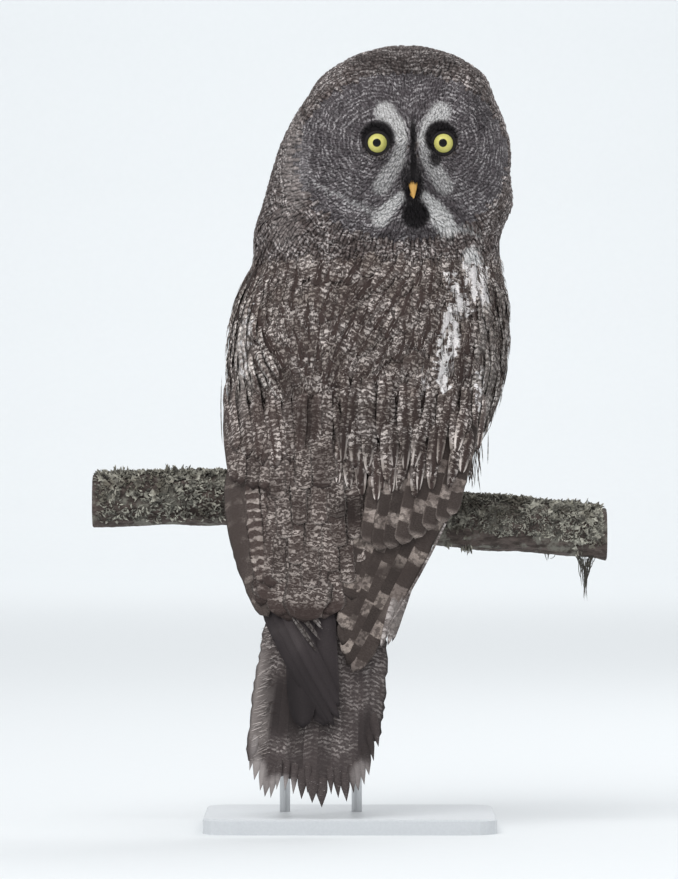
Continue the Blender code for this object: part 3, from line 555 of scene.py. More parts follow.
def marksAt(points):
    # white, black and distance from the nearer eye at points in mm
    x, y, z = points.T
    dx = x - faceMarks["middle"]
    onFace = smooth(-20, -45, y) * smooth(500, 512, z)
    ragged = 1.2 * np.sin(x * 1.9 + z * 0.7) + 1.2 * np.sin(z * 1.3 - x * 0.8)
    white = np.zeros(len(points))
    for strength, line in faceMarks["rim"]:
        white = np.maximum(white, strength * alongLine(x + ragged, z + ragged, line))
    for strength, line in faceMarks["white"]:
        white = np.maximum(white, strength * alongLine(np.abs(dx) + ragged * 0.5, z + ragged * 0.5, line))
    black = np.zeros(len(points))
    for side, eye in zip((-1, 1), eyes):
        for inward, up, wide, high, start, end, strength, uneven in faceMarks["eyeBlack"]:
            near = spot(x - eye[0] + side * inward, z - eye[2] - up, wide, high, start, end)
            black = np.maximum(black, (strength + uneven * side) * near)
    for middleX, middleZ, wide, high, start, end, strength in faceMarks["black"]:
        black = np.maximum(black, strength * spot(dx - middleX, z - middleZ, wide, high, start, end))
    stripe = (1 - smooth(1.6, 3.8, np.abs(dx))) * smooth(618, 598, z) * smooth(548, 556, z)
    black = np.maximum(black, stripe) * onFace
    white = white * (1 - black) * onFace
    onBack = smooth(10, -30, y) * smooth(506, 496, z)
    for strength, line in faceMarks["patches"]:
        white = np.maximum(white, strength * alongLine(x + ragged, z + ragged, line) * onBack)
    return columns(white, black, fromEyes(points))


def zonesAt(points):
    # plain, pale and darker places of the viewer's side; the pale ones are partly painted light, the darker ones partly
    # painted shade
    x, y, z = points.T
    near = smooth(0, -40, y)
    zones = np.zeros((len(points), 3))
    for column, name in enumerate(("calm", "glow", "shade")):
        for cx, cz, wide, high, strength in faceMarks[name]:
            here = spot(x - cx, z - cz, wide, high, 0.6, 1.15)
            zones[:, column] = np.maximum(zones[:, column], here * strength * near)
    return zones


# Skin: lofts on the outlines, with legs and toes, made into one surface
skin = {"inset": 7.0, "headInset": 2.5, "voxel": 2.4, "smooth": 4}


def shapeLoft(shape, low, high, inset, relief=None):
    deselect()
    bpy.ops.mesh.primitive_uv_sphere_add(segments=128, ring_count=96, radius=1)
    obj = bpy.context.object
    co = getPoints(obj)
    ring = np.arccos(np.clip(co[:, 2], -1, 1)) / math.pi * 96
    angles = np.arctan2(co[:, 0], -co[:, 1])
    heights = high - (high - low) * np.clip(ring - 1, 0, 94) / 94
    points = onShape(shape, angles, heights, -inset(heights))
    if relief:
        points = relief(points, angles)
    for pole in (ring < 0.5, ring > 95.5):
        row = rowsAt(shape["rows"], heights[pole])
        points[pole, 0], points[pole, 1] = row[:, 1], (row[:, 3] + row[:, 4]) / 2
    setPoints(obj, points * mm)
    return obj


def tubeAlong(points, radii):
    # a closed tube through points in mm
    curve = bpy.data.curves.new("tube", "CURVE")
    curve.dimensions = "3D"
    curve.bevel_depth = mm
    curve.bevel_resolution = 4
    curve.use_fill_caps = True
    spline = curve.splines.new("POLY")
    spline.points.add(len(points) - 1)
    for place, point, radius in zip(spline.points, points, radii):
        place.co = (*(Vector(point) * mm), 1)
        place.radius = radius
    obj = bpy.data.objects.new("tube", curve)
    bpy.context.scene.collection.objects.link(obj)
    pick(obj)
    bpy.ops.object.convert(target="MESH")
    obj = bpy.context.object
    editMesh(bpy.ops.mesh.remove_doubles, threshold=0.00001)
    editMesh(bpy.ops.mesh.normals_make_consistent, inside=False)
    return obj


def bodyInset(heights):
    return skin["headInset"] + (skin["inset"] - skin["headInset"]) * smooth(520, 480, heights)


def thinInset(heights):
    return np.full(len(heights), 4.0)


lumps = [
    shapeLoft(owlShape, 305, 671, bodyInset, faceRelief),
    shapeLoft(rumpShape, 132, 352, thinInset),
    shapeLoft(wingShape, 216, 476, lambda heights: np.full(len(heights), 6.0)),
]
for side in (-1, 1):
    footX = legs["x"] + side * legs["spread"]
    ankle = perchPoint(footX) + Vector((0, 0, perch["radius"] + legs["above"]))
    lumps.append(tubeAlong(
        [(footX, legs["y"], legs["top"]), ankle, perchPoint(footX) + Vector((0, 0, perch["radius"] + 4))],
        [legs["radius"], legs["ankle"], legs["ankle"]]))
    for toe in toes:
        path = toePath(footX, toe, side, perch["radius"] + toe["radius"] * 0.85)
        lumps.append(tubeAlong(path, toe["radius"] * np.linspace(0.95, 0.70, toePoints)))
pick(*lumps)
bpy.ops.object.join()
owlSkin = bpy.context.object
applyModifier(owlSkin, "REMESH", mode="VOXEL", voxel_size=skin["voxel"] * mm)
applyModifier(owlSkin, "SMOOTH", factor=0.5, iterations=skin["smooth"])
bpy.ops.object.shade_smooth()
skinTree = BVHTree.FromPolygons(
    [v.co / mm for v in owlSkin.data.vertices], [tuple(p.vertices) for p in owlSkin.data.polygons])
print("skin:", len(owlSkin.data.polygons), "faces")


def writeAttributes(mesh, **values):
    for name, value in values.items():
        layer = mesh.attributes.new(name, "FLOAT_VECTOR", "POINT")
        layer.data.foreach_set("vector", np.asarray(value, np.float32).ravel())


def unwrapPlace(points):
    # a place on the skin's own unwrap: round its upright axis, and up it
    row = rowsAt(owlShape["rows"], points[:, 2])
    middle = np.where(points[:, 2] > 320, (row[:, 3] + row[:, 4]) / 2, -70)
    angle = np.arctan2(points[:, 0] - row[:, 1], middle - points[:, 1])
    return columns(0.5 + 0.47 * angle / math.pi, 0.02 + 0.96 * points[:, 2] / 680)


def writeUnwrap(mesh, places):
    layer = mesh.uv_layers.new(name="OFBake")
    corners = np.empty(len(mesh.loops), np.int32)
    mesh.loops.foreach_get("vertex_index", corners)
    layer.data.foreach_set("uv", places[corners].astype(np.float32).ravel())


skinPoints = getPoints(owlSkin) / mm
writeAttributes(
    owlSkin.data,
    zones=zonesAt(skinPoints),
    grain=columns(skinPoints[:, 0], -skinPoints[:, 2], np.zeros(len(skinPoints))),
    part=np.tile([0.4, 0.5, 0.75], (len(skinPoints), 1)),
    marks=marksAt(skinPoints))
finished(owlSkin, "owlSkin", finishes["head"], "plumage", "head", "neck", "torso")


# One feather of each kind: a flattened ball whose rings become the feather's rows
def featherModel(sides, rows, tip, root, notch=0.0, widest=0.6, taper=(2.6, 0.5)):
    deselect()
    bpy.ops.mesh.primitive_uv_sphere_add(segments=sides, ring_count=rows, radius=1)
    obj = bpy.context.object
    co = getPoints(obj)
    along = 1 - np.arccos(np.clip(co[:, 2], -1, 1)) / math.pi
    round_ = np.maximum(np.hypot(co[:, 0], co[:, 1]), 1e-6)
    across, up = co[:, 0] / round_, co[:, 1] / round_
    poles = (along < 0.001) | (along > 0.999)
    across[poles], up[poles] = 0, 0
    outline = np.minimum(1, (root + (1 - root) * smooth(0, widest, along)))
    outline = outline * (1 - np.clip((along - tip) / (1 - tip), 0, 1) ** taper[0]) ** taper[1]
    edge = np.abs(across) > 0.9
    odd = np.round(along * rows) % 2
    outline = outline * np.where(edge, 1 - notch * odd, 1)
    faces = [tuple(p.vertices) for p in obj.data.polygons]
    bpy.data.objects.remove(obj)
    return {"across": across * outline, "share": across, "along": along, "up": up, "faces": faces, "edge": edge}


def meshPiece(name, points, faces, count):
    # one object of many copies of the same faces, its points in mm
    sizes = np.array([len(face) for face in faces])
    loops = np.concatenate([np.array(face) for face in faces])
    loops = (loops[None, :] + np.arange(count)[:, None] * (len(points) // count)).ravel()
    allSizes = np.tile(sizes, count)
    mesh = bpy.data.meshes.new(name)
    mesh.vertices.add(len(points))
    mesh.vertices.foreach_set("co", (points * mm).astype(np.float32).ravel())
    mesh.loops.add(len(loops))
    mesh.loops.foreach_set("vertex_index", loops.astype(np.int32))
    mesh.polygons.add(len(allSizes))
    mesh.polygons.foreach_set("loop_start", (np.cumsum(allSizes) - allSizes).astype(np.int32))
    mesh.update(calc_edges=True)
    mesh.shade_smooth()
    obj = bpy.data.objects.new(name, mesh)
    bpy.context.scene.collection.objects.link(obj)
    print(name + ":", count, "copies,", count * int((sizes - 2).sum()), "triangles")
    return obj


def featherPiece(name, model, centres, outs, halfWidths, finish, slot, seed, tilts=0.0, thick=0.6, camber=0.12,
                 fray=0.0, tones=None, replaced=(), slips=0.0):
    draw = np.random.default_rng(seed)
    count, rows = centres.shape[:2]
    v = len(model["along"])
    at = np.clip(model["along"], 0, 1) * (rows - 1)
    low = np.clip(np.floor(at).astype(int), 0, rows - 2)
    weights = np.zeros((v, rows))
    weights[np.arange(v), low] = 1 - (at - low)
    weights[np.arange(v), low + 1] = at - low
    middle, out, ahead = (
        np.einsum("vr,nrk->nvk", weights, values) for values in (centres, outs, np.gradient(centres, axis=1)))
    ahead = unit(ahead)
    side = unit(np.cross(ahead, unit(out)))
    out = unit(np.cross(side, ahead))
    turn = np.radians(np.broadcast_to(tilts, (count,)))[:, None, None]
    side, out = side * np.cos(turn) + out * np.sin(turn), out * np.cos(turn) - side * np.sin(turn)
    half = np.broadcast_to(halfWidths, (count,))[:, None]
    share, along = model["across"][None, :], model["along"][None, :]
    across = share * half
    if fray:
        across = across * (1 + fray * draw.uniform(-1, 0.3, (count, v)) * model["edge"])
    rise = -camber * half * share**2 + model["up"][None, :] * thick * 0.5 * (1 - 0.6 * along)
    points = middle + side * across[..., None] + out * rise[..., None]
    lengths = np.linalg.norm(np.diff(centres, axis=1), axis=2).sum(axis=1)[:, None]
    if fray:
        slip = fray * draw.uniform(-0.5, 0.5, (count, v)) * model["edge"] * lengths * 0.05
        points = points + ahead * slip[..., None]
    points = points.reshape(-1, 3)
    obj = meshPiece(name, points, model["faces"], count)
    seeds = np.repeat(draw.uniform(0, 80, count), v)
    tones = draw.uniform(0.8, 1.2, count) if tones is None else tones
    zones = zonesAt(points)
    fromTip = (along - 1) * lengths + np.broadcast_to(slips, (count,))[:, None]
    # the tone of each feather, darkened by the shade zones: partly dark plumage, partly painted shade
    toneHere = np.repeat(tones, v) * (1 - zones[:, 2])
    writeAttributes(
        obj.data,
        zones=zones,
        grain=columns(across.ravel(), fromTip.ravel(), seeds),
        part=columns(np.tile(model["share"], count), np.tile(model["along"], count), toneHere),
        marks=marksAt(points))
    patch = columns(model["share"], model["along"] * 2 - 1) * 0.0015
    writeUnwrap(obj.data, (unwrapPlace(centres[:, 0])[:, None, :] + patch[None, :, :]).reshape(-1, 2))
    return finished(obj, name, finish, slot, *replaced)


# Roots strewn over the skin, and paths that walk along it
skinTriangles = np.array(
    [tuple(p.vertices)[:3] for p in owlSkin.data.polygons]
    + [(*tuple(p.vertices)[2:], p.vertices[0]) for p in owlSkin.data.polygons if len(p.vertices) == 4])


def strewn(where, spacing, seed, tall=1.0):
    # roots no nearer than the spacing, over the part of the skin where the test holds
    draw = np.random.default_rng(seed)
    a, b, c = (skinPoints[skinTriangles[:, i]] for i in range(3))
    area = np.linalg.norm(np.cross(b - a, c - a), axis=1) / 2
    wanted = where((a + b + c) / 3) * area
    count = int(wanted.sum() / (spacing**2 * tall) * 7)
    chosen = draw.choice(len(area), count, p=wanted / wanted.sum())
    r1, r2 = np.sqrt(draw.random(count))[:, None], draw.random(count)[:, None]
    points = a[chosen] * (1 - r1) + b[chosen] * r1 * (1 - r2) + c[chosen] * r1 * r2
    points[:, 2] /= tall
    kept, grid = [], {}
    least = (spacing * 0.72) ** 2
    steps = [(dx, dy, dz) for dx in (-1, 0, 1) for dy in (-1, 0, 1) for dz in (-1, 0, 1)]
    for point in points:
        key = tuple((point // spacing).astype(int))
        if not any((point[0] - other[0]) ** 2 + (point[1] - other[1]) ** 2 + (point[2] - other[2]) ** 2 < least
                   for dx, dy, dz in steps for other in grid.get((key[0] + dx, key[1] + dy, key[2] + dz), ())):
            grid.setdefault(key, []).append(point)
            kept.append(point)
    return np.array(kept) * np.array([1, 1, tall])


def walked(roots, lie, lengths, rows, lift, sunk=0.5, curl=0.0):
    # paths over the skin from the roots, each rising from it towards its tip
    count = len(roots)
    centres = np.zeros((count, rows, 3))
    outs = np.zeros((count, rows, 3))
    here = roots.copy()
    lengths = np.broadcast_to(lengths, (count,))
    lift = np.broadcast_to(lift, (count,))
    for row in range(rows):
        normals = np.zeros((count, 3))
        for i, point in enumerate(here):
            place, normal, _, _ = skinTree.find_nearest(point)
            here[i] = place
            normals[i] = normal
        share = row / (rows - 1)
        rise = -sunk + (lift + sunk) * min(1.0, share * 1.6) + curl * share**2
        centres[:, row] = here + normals * np.reshape(rise, (-1, 1))
        outs[:, row] = normals
        way = lie(here)
        way = unit(way - normals * (way * normals).sum(axis=1, keepdims=True))
        here = here + way * (lengths / (rows - 1))[:, None]
    return centres, outs


def downBody(points):
    # down, running together towards a line left of the middle of the back
    x, y, z = points.T
    row = rowsAt(owlShape["rows"], z)
    near = smooth(0, -40, y)
    right = 0.62 * bump(x + 68, 26) * smooth(460, 410, z) * smooth(335, 355, z)
    left = 0.62 * bump(x - 16, 42) * smooth(340, 365, z)
    lean = (right - left) * near - (x - row[:, 1]) / 420
    return columns(lean, np.zeros(len(points)), -np.ones(len(points)))


def overHead(points):
    # away from the bill, over the crown and down the nape
    from_ = unit(points - np.array([face["midX"], -85, 566]))
    back = smooth(-10, 60, points[:, 1])[:, None] * 1.6
    low = smooth(540, 490, points[:, 2])[:, None] * 2.0
    return from_ + np.array([0, 0, -1.0]) * (back + low)


def roundFace(points):
    # out from both eyes and from the root of the bill
    way = np.zeros((len(points), 3))
    for centre, strength in ((eyes[0], 1.0), (eyes[1], 1.0), (np.array([face["midX"], -90, 556]), 0.5)):
        away = points - centre
        way += strength * away / np.maximum((away**2).sum(axis=1, keepdims=True), 9)
    way = unit(way)
    # brows sweep up, lores down and the moustache out and down
    dx, z = points[:, 0] - faceMarks["middle"], points[:, 2]
    side = np.sign(dx)
    for (_, line), (aside, up) in zip(faceMarks["white"], ((0.35, 1.0), (0.45, -1.0), (0.8, -0.7))):
        here = alongLine(np.abs(dx), z, [(a, b, wide * 1.3) for a, b, wide in line])[:, None]
        way = way * (1 - here) + here * columns(side * aside, np.zeros(len(dx)), np.full(len(dx), up)) * 1.4
    return way


def inFace(points, edge=1.0):
    uneven = 0.03 * np.sin(points[:, 0] * 0.8) + 0.03 * np.sin(points[:, 2] * 0.9 + 1)
    return (discEdge(points) + uneven < edge) & (points[:, 1] < -18) & (points[:, 2] > 506)


def spread(draw, value, range_, roots):
    # a value for each root, drawn round the given one
    return value * draw.uniform(*range_, len(roots))


# Face
faceCoat = {"spacing": 1.9, "length": (6.0, 12.0), "half": 1.5, "lift": 1.5, "eyeGap": 12.0}
tuft = featherModel(4, 4, 0.45, 0.5)
roots = strewn(lambda p: inFace(p) & (fromEyes(p) > faceCoat["eyeGap"]), faceCoat["spacing"], 11)
draw = np.random.default_rng(5)
lengths = spread(draw, np.interp(fromEyes(roots), (12, 60), faceCoat["length"]), (0.8, 1.2), roots)
centres, outs = walked(roots, roundFace, lengths, 4, spread(draw, faceCoat["lift"], (0.7, 1.3), roots))
for side, name in ((-1, "faceCoatLeft"), (1, "faceCoatRight")):
    on = (roots[:, 0] - face["midX"]) * side >= 0
    featherPiece(name, tuft, centres[on], outs[on], faceCoat["half"], finishes["face"], "face", 12 + side, thick=0.4,
                 tones=draw.uniform(0.8, 1.25, on.sum()))

# Crown, nape and neck
headCoat = {"spacing": 2.9, "length": (16.0, 11.0), "half": 2.1, "lift": 3.0}
plume = featherModel(4, 5, 0.5, 0.4)
roots = strewn(lambda p: (p[:, 2] > 498) & ~inFace(p, 0.97), headCoat["spacing"], 21)
draw = np.random.default_rng(22)
lengths = spread(draw, np.interp(roots[:, 2], (500, 640), headCoat["length"]), (0.8, 1.25), roots)
centres, outs = walked(roots, overHead, lengths, 4, spread(draw, headCoat["lift"], (0.7, 1.3), roots), curl=0.3)
quarter = (roots[:, 0] > 35) * 2 + (roots[:, 1] > 0)
for number, name in enumerate(("headCoatLeft", "napeCoatLeft", "headCoatRight", "napeCoatRight")):
    on = quarter == number
    featherPiece(name, plume, centres[on], outs[on], headCoat["half"], finishes["head"], "plumage", 30 + number,
                 thick=0.5, fray=0.35, tones=draw.uniform(0.75, 1.3, on.sum()))

# Coats of the body: where each grows, its feathers, and the ranges that their length, lift and tone are drawn from
softFeather = featherModel(4, 11, 0.55, 0.35, notch=0.22)
sliver = featherModel(3, 5, 0.3, 0.5)
breastCoat = {
    "name": "breastCoat", "model": softFeather, "finish": "breast", "seeds": (41, 42, 42), "rows": 6, "sunk": 1.0,
    "where": lambda x, y, z: (z < 506) & (y > -34) & (z > 306), "spacing": 7.2, "tall": 1.8, "half": 7.0,
    "length": 44.0, "lengths": (0.75, 1.2), "lift": 5.0, "lifts": (0.8, 1.2), "tilt": 4, "tones": (0.8, 1.2),
    "vane": {"fray": 0.6, "thick": 0.4},
}
mantleCoat = {
    "name": "mantleCoat", "model": featherModel(6, 24, 0.3, 0.35, notch=0.22), "finish": "mantle",
    "seeds": (51, 52, 52), "where": lambda x, y, z: (z < 511) & (z > 322) & (y < -8), "spacing": 10.0, "tall": 1.9,
    "half": 10.5, "rows": 8, "length": 46.0, "lengths": (0.85, 1.15), "lift": 4.2, "lifts": (0.9, 1.1), "tilt": 3,
    "tones": (0.9, 1.1), "sunk": 1.0, "vane": {"fray": 0.5, "thick": 0.3, "camber": 0.04},
}
flankCoat = {
    "name": "flankFeathers", "model": featherModel(4, 16, 0.3, 0.5, notch=0.12), "finish": "flank",
    "seeds": (53, 54, 54), "where": lambda x, y, z: (z < 490) & (z > 345) & (y < 10) & ((x < -74) | (x > 106)),
    "spacing": 6.5, "tall": 2.6,
    "length": 44.0, "lengths": (0.7, 1.3), "lift": 6.5, "lifts": (0.8, 1.2), "tones": (0.85, 1.2), "half": 4.6,
    "rows": 7, "sunk": 1.0, "rightTone": 0.78, "leftTone": 1.25, "vane": {"fray": 0.2, "thick": 0.4, "camber": 0.1},
}
looseBarbs = {
    "name": "looseBarbs", "model": sliver, "finish": "barb", "seeds": (55, 56, 57), "rows": 4, "sunk": -2.0,
    "where": lambda x, y, z: (z < 494) & (z > 326) & (x > -72), "spacing": 4.6, "tall": 1.0, "half": 0.4,
    "length": 11.0, "lengths": (0.6, 1.4), "lift": 5.6, "lifts": (0.7, 1.25), "tones": (0.6, 1.5),
    "vane": {"thick": 0.4},
}
for coat in (breastCoat, mantleCoat, flankCoat, looseBarbs):
    roots = strewn(lambda p: coat["where"](*p.T), coat["spacing"], coat["seeds"][0], coat["tall"])
    draw = np.random.default_rng(coat["seeds"][1])
    lengths = spread(draw, coat["length"], coat["lengths"], roots)
    centres, outs = walked(roots, downBody, lengths, coat["rows"], spread(draw, coat["lift"], coat["lifts"], roots),
                           sunk=coat["sunk"])
    tilts = draw.uniform(-coat["tilt"], coat["tilt"], len(roots)) if "tilt" in coat else 0.0
    tones = np.where(roots[:, 0] > 0, coat.get("rightTone", 1), coat.get("leftTone", 1))
    tones = spread(draw, tones, coat["tones"], roots)
    featherPiece(coat["name"], coat["model"], centres, outs, coat["half"], finishes[coat["finish"]], "plumage",
                 coat["seeds"][2], tilts=tilts, tones=tones, **coat["vane"])

# Rump and under the tail
rumpCoat = {"spacing": 8.5, "length": 30.0, "half": 8.0, "lift": 4.0}
roots = strewn(lambda p: (p[:, 2] < 322) & (p[:, 2] > 134) & (p[:, 1] < -20), rumpCoat["spacing"], 61)
centres, outs = walked(roots, downBody, rumpCoat["length"], 5, rumpCoat["lift"])
featherPiece("rumpCoat", softFeather, centres, outs, rumpCoat["half"], finishes["breast"], "plumage", 62, fray=0.4)
print("coats made")


# Long feathers of wings and tail: root x and z, tip x and z, half width, mm above the outline, sideways bow
def laidOut(shape, lines, rows, sunk=4.0):
    lines = np.array([line if len(line) == 7 else (*line, 0.0) for line in lines], float)
    centres = np.zeros((len(lines), rows, 3))
    outs = np.zeros((len(lines), rows, 3))
    for row in range(rows):
        t = row / (rows - 1)
        xs = lines[:, 0] + (lines[:, 2] - lines[:, 0]) * t + lines[:, 6] * 4 * t * (1 - t)
        heights = lines[:, 1] + (lines[:, 3] - lines[:, 1]) * t
        angles = angleOver(shape, xs, heights)
        out = outOf(shape, angles, heights)
        rise = -sunk + (lines[:, 5] + sunk) * min(1.0, t / 0.3)
        centres[:, row] = onShape(shape, angles, heights) + out * rise[:, None]
        outs[:, row] = out
    return centres, outs


def layFeathers(name, model, shape, lines, finish, seed, rows=12, sunk=4.0, slot="flight_feathers", thick=0.5, **vane):
    centres, outs = laidOut(shape, lines, rows, sunk)
    halves = np.array([line[4] for line in lines])
    return featherPiece(name, model, centres, outs, halves, finishes[finish], slot, seed, thick=thick, **vane)


def fanned(count, first, middle, last, half, lift, uneven=0.0, seed=3):
    # evenly fanned lines through three given ones, each a little off its place
    draw = np.random.default_rng(seed)
    lines = []
    for i in range(count):
        t = i / (count - 1)
        w = np.array([(1 - t) * (1 - 2 * t), 4 * t * (1 - t), t * (2 * t - 1)])
        line = w.dot(np.array([first, middle, last], float)) + draw.uniform(-uneven, uneven, 4)
        lines.append((*line, half * draw.uniform(1 - uneven / 20, 1 + uneven / 20), lift + (i % 2) * 0.5))
    return lines


quill = featherModel(8, 30, 0.88, 0.5, widest=0.3)
softQuill = featherModel(8, 30, 0.88, 0.5, notch=0.07, widest=0.3)
narrow = featherModel(6, 26, 0.7, 0.5, widest=0.3)
coverts = featherModel(6, 16, 0.7, 0.45, notch=0.06)
pointed = featherModel(6, 18, 0.25, 0.5, notch=0.12)
leftWing = {
    "blades": (
        (-30, 240, -22, 92, 17, 0.6), (-44, 240, -40, 90, 15, 1.0),
        (-90, 240, -17, 92, 5.5, 1.6, -7.0), (-85, 242, -13, 92, 5.5, 2.1, -6.0), (-78, 242, -9, 98, 6.0, 2.6, -5.0),
        (-68, 240, -9, 108, 6.5, 3.0, -3.0),
    ),
    "outer": (
        (-100, 330, -69, 184, 9, 0.6, -12.0), (-96, 332, -67, 190, 9, 1.2, -10.0), (-91, 334, -66, 200, 8, 1.8, -7.0),
    ),
    "ladder": ((-83, 336, -74, 212, 7.5, 3.0, -3.0), (-72, 334, -71, 226, 6.0, 2.2, 1.0)),
    "tertials": (
        (-70, 330, -75, 193, 9, 1.8), (-54, 330, -52, 180, 15, 1.4), (-28, 330, -22, 182, 14, 1.6),
        (-66, 334, -70, 196, 11, 2.4), (-50, 340, -60, 184, 15, 3.0), (-57, 338, -67, 208, 9, 3.6),
        (8, 330, 16, 239, 9, 1.2),
        (2, 332, 9, 221, 11, 1.9), (-2, 332, -2, 197, 14, 2.6), (-18, 338, -16, 185, 14, 3.4),
        (-26, 345, -39, 179, 21, 4.6, 2.0),
        (-6, 334, -3, 217, 9, 4.2),
        (0, 336, 4, 253, 9.5, 5.4), (-12, 342, -13, 262, 9.5, 6.2), (-16, 346, -13, 275, 9, 7.0),
        (-26, 350, -23, 293, 10, 7.8),
    ),
    # small and rounded, each with a pale rim
    "scales": (
        (-24, 344, -17, 300, 9, 8.2), (-40, 338, -38, 292, 8, 7.6), (-62, 330, -60, 284, 8, 6.4),
        (-14, 320, -10, 268, 8.5, 7.4), (-26, 318, -26, 262, 8, 6.8), (-44, 312, -42, 262, 8, 6.4),
        (-58, 302, -54, 250, 7.5, 5.6), (-32, 296, -30, 240, 8, 5.8), (-12, 290, -9, 243, 7.5, 6.4),
        (2, 300, 4, 250, 7, 6.6), (-46, 280, -45, 228, 8, 5.4), (-18, 272, -16, 222, 8, 5.6),
        (4, 274, 7, 230, 7, 4.6), (-58, 270, -60, 214, 6.5, 4.6), (-34, 262, -33, 208, 9, 5.6),
        (-4, 262, -2, 212, 7.5, 5.2),
    ),
}
rightWing = {
    "barred": (
        (106, 350, 1, 137, 9, 0.0, 8.0), (93, 345, -3, 143, 9.5, 0.7, 6.5), (78, 340, -6, 151, 10, 1.4, 4.5),
        (62, 336, -7, 160, 10.5, 2.0, 3.0), (46, 332, -6, 173, 10.5, 2.6, 1.5), (30, 330, 1, 198, 11, 3.1),
    ),
    "fluff": (
        (64, 252, 39, 172, 4, -1.4), (60, 248, 36, 163, 4.5, -1.0), (56, 240, 32, 160, 4.5, -0.6),
        (50, 232, 29, 164, 4.5, -0.2),
        (45, 224, 26, 158, 4, 0.2),
    ),
    "coverts": (
        (110, 372, 84, 270, 8, 3.5), (101, 368, 76, 263, 8.5, 4.1), (91, 364, 65, 257, 8.5, 4.7),
        (80, 360, 54, 250, 9, 5.2),
        (68, 356, 43, 245, 9, 5.6), (56, 352, 33, 241, 9, 6.0), (44, 350, 24, 240, 9, 6.3),
        (32, 348, 15, 246, 9, 6.5),
    ),
}
layFeathers("leftBlades", narrow, wingShape, leftWing["blades"], "blade", 71, replaced=("wing_left",), tilts=-6,
            thick=0.9, camber=0.1, fray=0.08)
layFeathers("leftOuter", quill, leftShape, leftWing["outer"], "outer", 72, tilts=-5, thick=0.9, fray=0.08)
layFeathers("leftLadder", softQuill, leftShape, leftWing["ladder"], "ladder", 73, tilts=-4, thick=0.6, fray=0.25)
layFeathers("leftTertials", softQuill, leftShape, leftWing["tertials"], "tertial", 74, tilts=-3, camber=0.04, fray=0.25)
# each feather's bars slip along it, so that they meet in rows rising to the right
barRows = {"rise": 0.7, "height": 181.0, "past": 6}
lines = np.array([line[:4] for line in rightWing["barred"]])
lean = unit(lines[:, :2] - lines[:, 2:])
slips = barRows["height"] - lines[:, 3] + barRows["rise"] * lines[:, 2]
slips = slips / (lean[:, 1] - barRows["rise"] * lean[:, 0]) + barRows["past"]
layFeathers("rightBarred", quill, rightShape, rightWing["barred"], "barred", 75, replaced=("wing_right",), tilts=6,
            thick=0.9, camber=0.1, fray=0.1, slips=slips)
layFeathers("rightCoverts", quill, rightShape, rightWing["coverts"], "row", 76, tilts=6, thick=0.7, camber=0.1,
            fray=0.12)
layFeathers("rightFluff", pointed, rightShape, rightWing["fluff"], "fluff", 77, tilts=6, camber=0.1, fray=0.8)
layFeathers("leftScales", softQuill, leftShape, leftWing["scales"], "scale", 78, rows=8, sunk=1.0, tilts=-3,
            camber=0.08, fray=0.2)
layFeathers("leftCoverts", coverts, leftShape,
            fanned(11, (-104, 380, -97, 296), (-62, 366, -58, 288), (-20, 358, -30, 300), 8.5, 5.0, 3.0),
            "tertial", 81, rows=9, tilts=-5, thick=0.6, camber=0.06, fray=0.25)
layFeathers("leftUpperCoverts", coverts, leftShape,
            fanned(13, (-102, 400, -98, 322), (-60, 388, -58, 312), (-16, 386, -24, 324), 7.5, 6.5, 4.0),
            "covert", 82, rows=9, slot="plumage", tilts=-5, camber=0.06, fray=0.3)
# pointed feathers that hang over the right wing, the lower ones white edged
for name, finish, seed, fray, line in (
    ("hemFeathers", "hem", 83, 0.3, (17, (-14, 350, -12, 296), (42, 344, 38, 286), (106, 356, 92, 300), 5.4, 7.5, 6.0)),
    ("upperHem", "hem", 84, 0.35, (15, (-8, 378, -8, 314), (46, 368, 42, 304), (110, 380, 100, 318), 6.5, 8.5, 7.0)),
    ("topHem", "mantle", 85, 0.35, (12, (0, 402, -4, 338), (50, 394, 46, 330), (108, 402, 102, 344), 8.0, 8.0, 6.0)),
):
    layFeathers(name, pointed, rightShape, fanned(*line), finish, seed, rows=9, slot="plumage", tilts=4, fray=fray)


def strands(name, lines, half, finish, slot, seed, tones=1.0, model=sliver, outs=(0.0, -1.0, 0.0)):
    # thin hairs and bristles, each bent through three points in mm
    lines = np.array(lines, float)
    t = np.linspace(0, 1, 7)[None, :, None]
    centres = lines[:, None, 0] * (1 - t) ** 2 + lines[:, None, 1] * 2 * t * (1 - t) + lines[:, None, 2] * t**2
    outs = np.repeat(np.broadcast_to(outs, (len(lines), 3))[:, None, :], 7, axis=1)
    tones = np.broadcast_to(tones, (len(lines),))
    return featherPiece(name, model, centres, outs, half, finish, slot, seed, thick=0.4, tones=tones)


def drawn(draw, *ranges):
    # a point off zero, each number fixed or drawn from its range
    return np.array([draw.uniform(*one) if isinstance(one, tuple) else one for one in ranges])


def bent(draw, start, end, stray):
    return start, (start + end) / 2 + draw.normal(0, stray, 3), end


# loose wisps at both flanks: x, z, drop, count
wisps = (
    (99, 322, 34, 14), (104, 322, 30, 16), (109, 336, 36, 8), (115, 334, 36, 2), (-106, 392, 58, 4),
    (-108, 384, 46, 3),
)
draw = np.random.default_rng(86)
lines = []
for x, z, drop, count in wisps:
    for i in range(count):
        a = np.array([x, 0, z]) + drawn(draw, (-4, 4), (-40, -10), (-4, 12))
        c = a + drawn(draw, (-4, 5), (-3, 3), (0.7, 1.1)) * (1, 1, -drop)
        lines.append(bent(draw, a, c, 2))
strands("flankWisps", lines, 0.5, finishes["barb"], "plumage", 87, tones=0.9)
# pale outer edge of the right wing
layFeathers("wingEdge", narrow, rightShape, ((113.8, 350, 30, 172, 1.2, 0.3, 8.0),), "fluff", 88, sunk=1.0,
            tones=np.array([1.1]))

